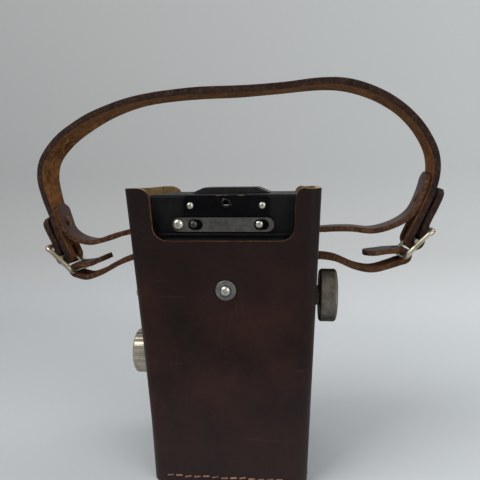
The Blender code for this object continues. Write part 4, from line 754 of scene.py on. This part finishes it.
def build_stitches():
    """The row of thread that sews the floor in, round all four walls."""
    rest()
    bpy.ops.mesh.primitive_cylinder_add(vertices=10, radius=STITCH_RADIUS, depth=STITCH_LENGTH,
                                        rotation=(0, math.pi / 2, 0))
    first = begin("stitch")
    pick(first, "FACE", lambda c, n: abs(n.x) > 0.9)
    bpy.ops.mesh.inset(thickness=0.00018, depth=0.00028)
    rest()
    even_out(first)
    made = []
    half = case_half(STITCH_Z)
    clear = CASE_CORNER + 0.001
    for index in range(-8, 8):
        along = (index + 0.5) * STITCH_PITCH
        tilt = math.radians(7 + 5 * math.sin(index * 2.3))
        for sign in (-1, 1):
            if abs(along) < half - clear:
                made.append(copy_piece(first, "stitch_end", Matrix.Translation(
                    (along, sign * (CASE_HALF_DEPTH + STITCH_LIFT),
                     STITCH_Z + 0.0003 * math.sin(index * 1.7)))
                    @ Matrix.Rotation(tilt * sign, 4, "Y")))
            if abs(along) < CASE_HALF_DEPTH - clear:
                made.append(copy_piece(first, "stitch_side", Matrix.Translation(
                    (sign * (half + STITCH_LIFT), along,
                     STITCH_Z + 0.0003 * math.cos(index * 1.9)))
                    @ Matrix.Rotation(math.pi / 2, 4, "Z") @ Matrix.Rotation(tilt, 4, "Y")))
    bpy.data.objects.remove(first)
    piece = join_pieces(made[0], made[1:], "case_floor_stitches")
    paint(piece, [linen])
    dress(piece, "root")


# ---- carrying strap ---------------------------------------------------------------
def side_sign(side):
    """-1 for the left side's leathers and 1 for the right side's."""
    return -1 if side["bar"][0] < 0 else 1


def buckle_end(side):
    """The middle of the buckle's end that the short strap wraps."""
    lean = math.radians(side["lean"])
    return (side["bar"][0] + BUCKLE_REACH * math.cos(lean),
            side["bar"][1] + BUCKLE_REACH * math.sin(lean))


def along_buckle(side):
    """The matrix from the buckle's own frame to its place."""
    return (Matrix.Translation((side["bar"][0], 0, side["bar"][1]))
            @ Matrix.Rotation(-math.radians(side["lean"]), 4, "Y"))


def placed_box(side, low, high):
    """A square cutter between two corners given in the buckle's own frame."""
    tool = cutter_box([(a + b) / 2 for a, b in zip(low, high)], [b - a for a, b in zip(low, high)])
    tool.data.transform(along_buckle(side))
    return tool


def strap_twist(x, z):
    """How far the strap turns its inside to the back where it hangs on the left."""
    if x > 0:
        return 0.0
    above_buckle = min(1.0, max(0.0, (z - 0.134) / 0.014))
    return 0.13 * above_buckle * min(1.0, max(0.0, (-x - 0.03) / 0.04))


def build_carry_strap():
    """The long strap, folded round both buckles' bars, with its loose fibres."""
    fold = BUCKLE_WIRE + BAR_GAP + STRAP_SHOWN / 2
    left_fold = arc(LEFT["bar"], fold, 170, 370, 18)
    right_fold = arc(RIGHT["bar"], fold, 170, 370, 18)
    over = smooth_path([left_fold[-1]] + LEFT["hang"][::-1] + OVER_HEAD + RIGHT["hang"]
                       + [right_fold[0]])
    left_tail = smooth_path(LEFT["tail"][::-1] + [left_fold[0]])
    right_tail = smooth_path([right_fold[-1]] + RIGHT["tail"])
    route = left_tail[:-1] + left_fold[:-1] + over[:-1] + right_fold[:-1] + right_tail
    piece = lay_leather("carry_strap_leather", [strap_grain, strap_flesh, strap_edge], route,
                        STRAP_SHOWN, STRAP_WIDTH, 1, (0.004, 0.004), 0.00012, strap_twist)
    for side in (LEFT, RIGHT):
        bool_cut(piece, placed_box(side, (-0.0046, -0.0016, -0.0055), (0.0046, 0.0016, 0.0055)))
    dress(piece, "carry_strap", ["strap_main"])
    build_fibres(route)


def build_side_strap(label, side):
    """The strap that goes in at the case's upper slot, down inside the wall and out below."""
    sign = side_sign(side)
    wall_upper, wall_lower = wall_out(sign, SLOT_UPPER), wall_out(sign, SLOT_LOWER)
    inside = wall_out(sign, STRAP_AXIS_Z) - sign * (LEATHER + TAB_SHOWN / 2 + 0.0004)
    behind = [(wall_upper + sign * 0.003, SLOT_UPPER),
              (wall_upper - sign * 0.0016, SLOT_UPPER - 0.0001),
              (inside + sign * 0.0006, SLOT_UPPER - 0.0014),
              (inside, STRAP_AXIS_Z + 0.003), (inside, STRAP_AXIS_Z - 0.003),
              (inside + sign * 0.0006, SLOT_LOWER + 0.0014),
              (wall_lower - sign * 0.0016, SLOT_LOWER + 0.0001),
              (wall_lower + sign * 0.003, SLOT_LOWER)]
    wrap = arc(buckle_end(side), BUCKLE_WIRE + BAR_GAP + TAB_SHOWN / 2,
               -90 - sign * 10, -90 + sign * 170, 14)
    first = smooth_path(side["upper"] + behind + side["lower"] + [wrap[0]])
    route = first[:-1] + wrap[:-1] + smooth_path([wrap[-1]] + side["tongue"])
    piece = lay_leather("side_strap_%s" % label, [tab_grain, tab_flesh, tab_edge], route,
                        TAB_SHOWN, TAB_WIDTH, -sign, (0.003, 0.006), 0.0001)
    low, high = sorted((sign * 0.0005, -sign * 0.0065))
    bool_cut(piece, placed_box(side, (BUCKLE_REACH - 0.0042, -0.0014, low),
                               (BUCKLE_REACH + 0.0036, 0.0014, high)))
    dress(piece, None,
          ["strap_tab_%s_upper" % label, "strap_tab_%s_lower" % label, "strap_anchor_%s" % label])
    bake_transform(piece)


# ---- knobs ------------------------------------------------------------------------
def build_winding_knob():
    """The diamond-knurled winding knob with its hub and dished end."""
    radius = 0.0128
    rows, around = 14, 132
    peak, valley = 0.0002, -0.00022
    start, end = 0.0437, 0.0511
    rest()
    bpy.ops.mesh.primitive_cylinder_add(vertices=around, radius=radius, depth=end - start,
                                        location=((start + end) / 2, *SPOOL_AXIS),
                                        rotation=(0, math.pi / 2, 0))
    piece = begin("winding_knob_knurled")
    for i in range(1, rows):
        bpy.ops.mesh.select_all(action="SELECT")
        bpy.ops.mesh.bisect(plane_co=(start + (end - start) * i / rows, 0, 0), plane_no=(1, 0, 0))
    centre = Vector((0, *SPOOL_AXIS))

    def knurl(co):
        out = Vector((0, co.y - centre.y, co.z - centre.z))
        column = round(math.atan2(out.z, out.y) / (2 * math.pi) * around)
        row = round((co.x - start) / (end - start) * rows)
        raised = peak if (column + row) % 2 else valley
        if row in (0, rows):
            raised = -peak
        grown = out.normalized() * (radius + raised)
        return Vector((co.x, centre.y + grown.y, centre.z + grown.z))

    move_points(piece, knurl)
    pick(piece, "FACE", lambda c, n: n.x > 0.9 and c.x > end - HAIR)
    for inset, depth in ((0.0003, 0.0003), (0.0010, 0.0003), (0.0022, 0.0), (0.0003, -0.0006),
                         (0.0060, -0.0001)):
        bpy.ops.mesh.inset(thickness=inset, depth=depth)
    pick(piece, "FACE", lambda c, n: n.x < -0.9 and c.x < start + HAIR)
    for inset, depth in ((0.0004, 0.0003), (0.0002, 0.0001), (0.0070, 0.0), (0.0002, 0.0036)):
        bpy.ops.mesh.inset(thickness=inset, depth=depth)
    rest()
    paint(piece, [knob_metal])
    dress(piece, "winder", ["winding_knob"], 24)


# ---- buckles, fibres, screws ------------------------------------------------------
def bent_wire(name, points, radius, closed):
    """A round wire along points, made a mesh."""
    curve = bpy.data.curves.new(name, "CURVE")
    curve.dimensions = "3D"
    curve.bevel_depth = radius
    curve.bevel_resolution = 4
    curve.use_fill_caps = True
    spline = curve.splines.new("POLY")
    spline.points.add(len(points) - 1)
    for point, where in zip(spline.points, points):
        point.co = (*where, 1)
    spline.use_cyclic_u = closed
    rest()
    piece = bpy.data.objects.new(name, curve)
    bpy.context.scene.collection.objects.link(piece)
    piece.select_set(True)
    bpy.context.view_layer.objects.active = piece
    bpy.ops.object.convert(target="MESH")
    even_out(piece)
    return piece


def build_buckle(label, side):
    """A buckle: a bowed frame with flattened cheeks, and the bar its prong turns on."""
    half, reach, corner = BUCKLE_HALF_WIDTH, BUCKLE_REACH, 0.0028
    loop = (arc((reach - corner, half - corner), corner, 0, 90, 7)
            + arc((-reach + corner, half - corner), corner, 90, 180, 7)
            + arc((-reach + corner, -half + corner), corner, 180, 270, 7)
            + arc((reach - corner, -half + corner), corner, 270, 360, 7))
    bow = math.radians(side["bow"])
    bent = [(a, b, 0) if a > 0 else (a * math.cos(bow), b, -side_sign(side) * a * math.sin(bow))
            for a, b in loop]
    frame_piece = bent_wire("buckle_frame_%s" % label, bent, BUCKLE_WIRE, True)
    bar = bent_wire("buckle_bar", [(0, -half, 0), (0, half, 0)], BUCKLE_WIRE * 0.92, False)
    piece = join_pieces(frame_piece, [bar], frame_piece.name)
    for vert in piece.data.vertices:
        cheek = max(0.0, min(1.0, (abs(vert.co.y) - 0.0078) / 0.0016))
        vert.co.y += math.copysign(0.00035, vert.co.y) * cheek
        if abs(abs(vert.co.x) - reach) > 0.003 and abs(vert.co.x) > 0.0018:
            vert.co.z *= 1.0 - 0.12 * cheek
    piece.data.transform(along_buckle(side))
    paint(piece, [buckle_metal])
    dress(piece, "carry_strap", ["buckle_%s" % label], 50)


def scatter(index, salt):
    """A repeatable value from 0 to 1."""
    value = math.sin(index * 12.9898 + salt * 78.233) * 43758.5453
    return value - math.floor(value)


def build_fibres(route):
    """Loose leather fibres that stand off both cut edges of the carrying strap."""
    points = evenly(route, FIBRE_PITCH)[0]
    rest()
    bpy.ops.mesh.primitive_cone_add(vertices=3, radius1=0.5, radius2=0.06, depth=1.0)
    first = begin("fibre")
    bpy.ops.mesh.select_all(action="SELECT")
    bpy.ops.mesh.bisect(plane_co=(0, 0, 0), plane_no=(0, 0, 1))
    move_points(first, lambda co: Vector((co.x + 0.5 * (co.z + 0.5) ** 2, co.y, co.z + 0.5)))
    rest()
    made = []
    for i in range(FIBRES):
        share = 0.01 + 0.98 * scatter(i, 1)
        at = min(len(points) - 2, int(share * (len(points) - 1)))
        a, b = Vector(points[at]), Vector(points[at + 1])
        along = (b - a).normalized()
        edge = 1 if scatter(i, 2) < 0.5 else -1
        across = (scatter(i, 3) - 0.5) * STRAP_SHOWN * 0.9
        side = edge * (STRAP_WIDTH / 2 - HAIR)
        root = Vector((a.x - along.y * across + strap_twist(a.x, a.y) * side, side,
                       a.y + along.x * across))
        aim = Vector(((scatter(i, 4) - 0.5) * 1.6, edge * (0.35 + 0.5 * scatter(i, 5)),
                      (scatter(i, 6) - 0.5) * 1.6)).normalized()
        tall = 0.0004 + 0.0011 * scatter(i, 7) ** 3
        turn = aim.to_track_quat("Z", "X").to_matrix().to_4x4()
        made.append(copy_piece(first, "fibre_copy", Matrix.Translation(root) @ turn
                               @ Matrix.Diagonal((FIBRE_RADIUS, FIBRE_RADIUS, tall, 1))))
    bpy.data.objects.remove(first)
    piece = join_pieces(made[0], made[1:], "carry_strap_fibres")
    paint(piece, [strap_flesh])
    dress(piece, "carry_strap")


# a head of radius 1 and its shank, as (radius, height)
SCREW_PROFILE = [(0, 0.62), (0.3, 0.60), (0.62, 0.50), (0.86, 0.33), (1.0, 0.14), (1.0, 0),
                 (0.52, 0), (0.52, -1.1), (0, -1.1)]
# name, CAD node, head's height, turn of the cross, body, finish
SCREWS = [("case_cross_screw", "case_screw", 0.0018, 20, "root", bright_nickel),
          ("plate_cross_screw_left", "plate_screw_left", 0.0009, 35, "root", bright_nickel),
          ("plate_cross_screw_right", "plate_screw_right", 0.0009, 70, "root", bright_nickel),
          ("guide_cross_screw_left", "latch_guide_screw_left", 0.0014, 10, "root", steel),
          ("guide_cross_screw_right", "latch_guide_screw_right", 0.0014, 50, "root",
           bright_nickel),
          ("latch_grip_screw", "latch_thumb_screw", 0.0013, 62, "door_latch", bright_nickel)]


def build_screws():
    """One domed cross-recess screw, copied to each place at its size."""
    first = lathe("cross_screw", SCREW_PROFILE, (0, 0, 0), 48)
    for wide, tall in ((0.24, 1.2), (1.2, 0.24)):
        tool = cutter_box((0, -0.62, 0), (wide, 0.56, tall))
        for vert in tool.data.vertices:
            if vert.co.y > -0.5:
                vert.co.x *= 0.6
                vert.co.z *= 0.6
        bool_cut(first, tool)
    modify(first, "BEVEL", width=0.03, segments=2, limit_method="ANGLE",
           angle_limit=math.radians(48))
    for name, cad, height, turn, body, look in SCREWS:
        low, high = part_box(cad)
        radius = (high.x - low.x) / 2
        tall = height / SCREW_PROFILE[0][1]
        place = (Matrix.Translation(((low.x + high.x) / 2, low.y + height, (low.z + high.z) / 2))
                 @ Matrix.Rotation(math.radians(turn), 4, "Y")
                 @ Matrix.Diagonal((radius, tall, radius, 1)))
        piece = copy_piece(first, name, place)
        paint(piece, [look])
        dress(piece, body, [cad], 35)
    bpy.data.objects.remove(first)


def build_washer():
    """Two washers under the case screw, the upper one smaller and cupped."""
    low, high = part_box("case_washer")
    radius = (high.x - low.x) / 2
    piece = lathe("case_double_washer",
                  [(0.0018, 0), (radius, 0), (radius, 0.0004), (radius - 0.0003, 0.00065),
                   (0.0036, 0.0007), (0.0036, 0.00085), (0.0034, 0.0011), (0.0030, 0.0012),
                   (0.0027, 0.0010), (0.0018, 0.0010), (0.0018, 0)],
                  ((low.x + high.x) / 2, high.y, (low.z + high.z) / 2), 72)
    paint(piece, [zinc])
    dress(piece, "root", ["case_washer"], 35)


build_case_shell()
build_case_floor()
build_stitches()
build_carry_strap()
build_side_strap("left", LEFT)
build_side_strap("right", RIGHT)
build_winding_knob()
build_buckle("left", LEFT)
build_buckle("right", RIGHT)
build_screws()
build_washer()


# ---- studio -----------------------------------------------------------------------
def backdrop_look():
    """A pale sweep that shows about as it is painted, and keeps the object's shadow. Painted light
    runs across it, darker on the left and lighter on the right, and its floor is painted lighter
    than its wall.
    """
    look = Look("pale_sweep", 0.9, Specular_IOR_Level=0.1)
    # painted light: the sweep gets lighter from left to right, standing in for the lamps' falloff
    across = look.span(look.axis("X"), -0.45, 0.55)
    height = look.span(look.axis("Z"), 0.0, 0.5)
    wall = look.blend(across, linear((166, 166, 166)), linear((203, 205, 204)))
    floor = look.blend(across, linear((174, 177, 180)), linear((224, 228, 230)))
    # painted light: the floor is painted lighter than the wall, where it faces the lamps
    look.colour(look.blend(look.span(height, 0, 0.12), floor, wall))
    return look.made


def build_studio():
    """The floor, which curves up into a wall behind the camera's subject."""
    rest()
    bpy.ops.mesh.primitive_plane_add(size=1.0)
    sweep = begin("studio_sweep")
    profile = [(-7.0, 0.0), (0.20, 0.0)] + arc((0.24, 0.16), 0.16, -90, 0, 10) + [(0.40, 2.2)]
    move_points(sweep, lambda co: Vector((co.x * 14, profile[0][0] if co.y < 0 else profile[1][0],
                                          0)))
    here = profile[1]
    for there in profile[2:]:
        pick(sweep, "VERT", lambda co: math.dist(co.yz, here) < 5 * HAIR)
        bpy.ops.mesh.extrude_region_move(
            TRANSFORM_OT_translate={"value": (0, there[0] - here[0], there[1] - here[1])})
        here = there
    rest()
    bpy.context.view_layer.objects.active = sweep
    sweep.select_set(True)
    bpy.ops.object.shade_smooth()
    sweep.data.materials.append(backdrop_look())


def soft_light(name, place, aim, size, power, tint=(1, 1, 1)):
    """A square lamp, aimed at a point."""
    rest()
    bpy.ops.object.light_add(type="AREA", location=place)
    lamp = bpy.context.object
    lamp.name = name
    lamp.data.size = size
    lamp.data.energy = power
    lamp.data.color = tint
    lamp.rotation_euler = (Vector(aim) - Vector(place)).to_track_quat("-Z", "Y").to_euler()


build_studio()
soft_light("window_light", (-0.75, -0.55, 1.15), (0, 0, 0.09), 0.9, 11.0, (1.0, 0.99, 0.97))
soft_light("room_fill", (1.0, -0.9, 0.75), (0, 0, 0.08), 1.0, 7.0, (0.97, 0.99, 1.0))
soft_light("back_glow", (0.5, 0.30, 1.2), (0, 0, 0.12), 0.6, 3.0)

world = bpy.data.worlds.new("soft_room")
world.use_nodes = True
room = world.node_tree.nodes["Background"]
room.inputs["Color"].default_value = (0.50, 0.51, 0.525, 1.0)
room.inputs["Strength"].default_value = 0.88
bpy.context.scene.world = world

CAMERA_PLACE = (0.0285, -0.2461, 0.1501)
CAMERA_TURN, CAMERA_DOWN, CAMERA_ROLL = 5.92, 13.23, -0.59      # degrees
camera = bpy.data.objects.new("camera", bpy.data.cameras.new("camera"))
bpy.context.scene.collection.objects.link(camera)
camera.data.lens = 36.0
camera.data.sensor_width = 36.0
camera.data.shift_y = 0.11
camera.data.clip_start = 0.01
camera.matrix_world = (Matrix.Translation(CAMERA_PLACE)
                       @ Matrix.Rotation(math.radians(CAMERA_TURN), 4, "Z")
                       @ Matrix.Rotation(math.radians(90 - CAMERA_DOWN), 4, "X")
                       @ Matrix.Rotation(math.radians(CAMERA_ROLL), 4, "Z"))
bpy.context.scene.camera = camera
bpy.context.scene.view_settings.view_transform = "Standard"
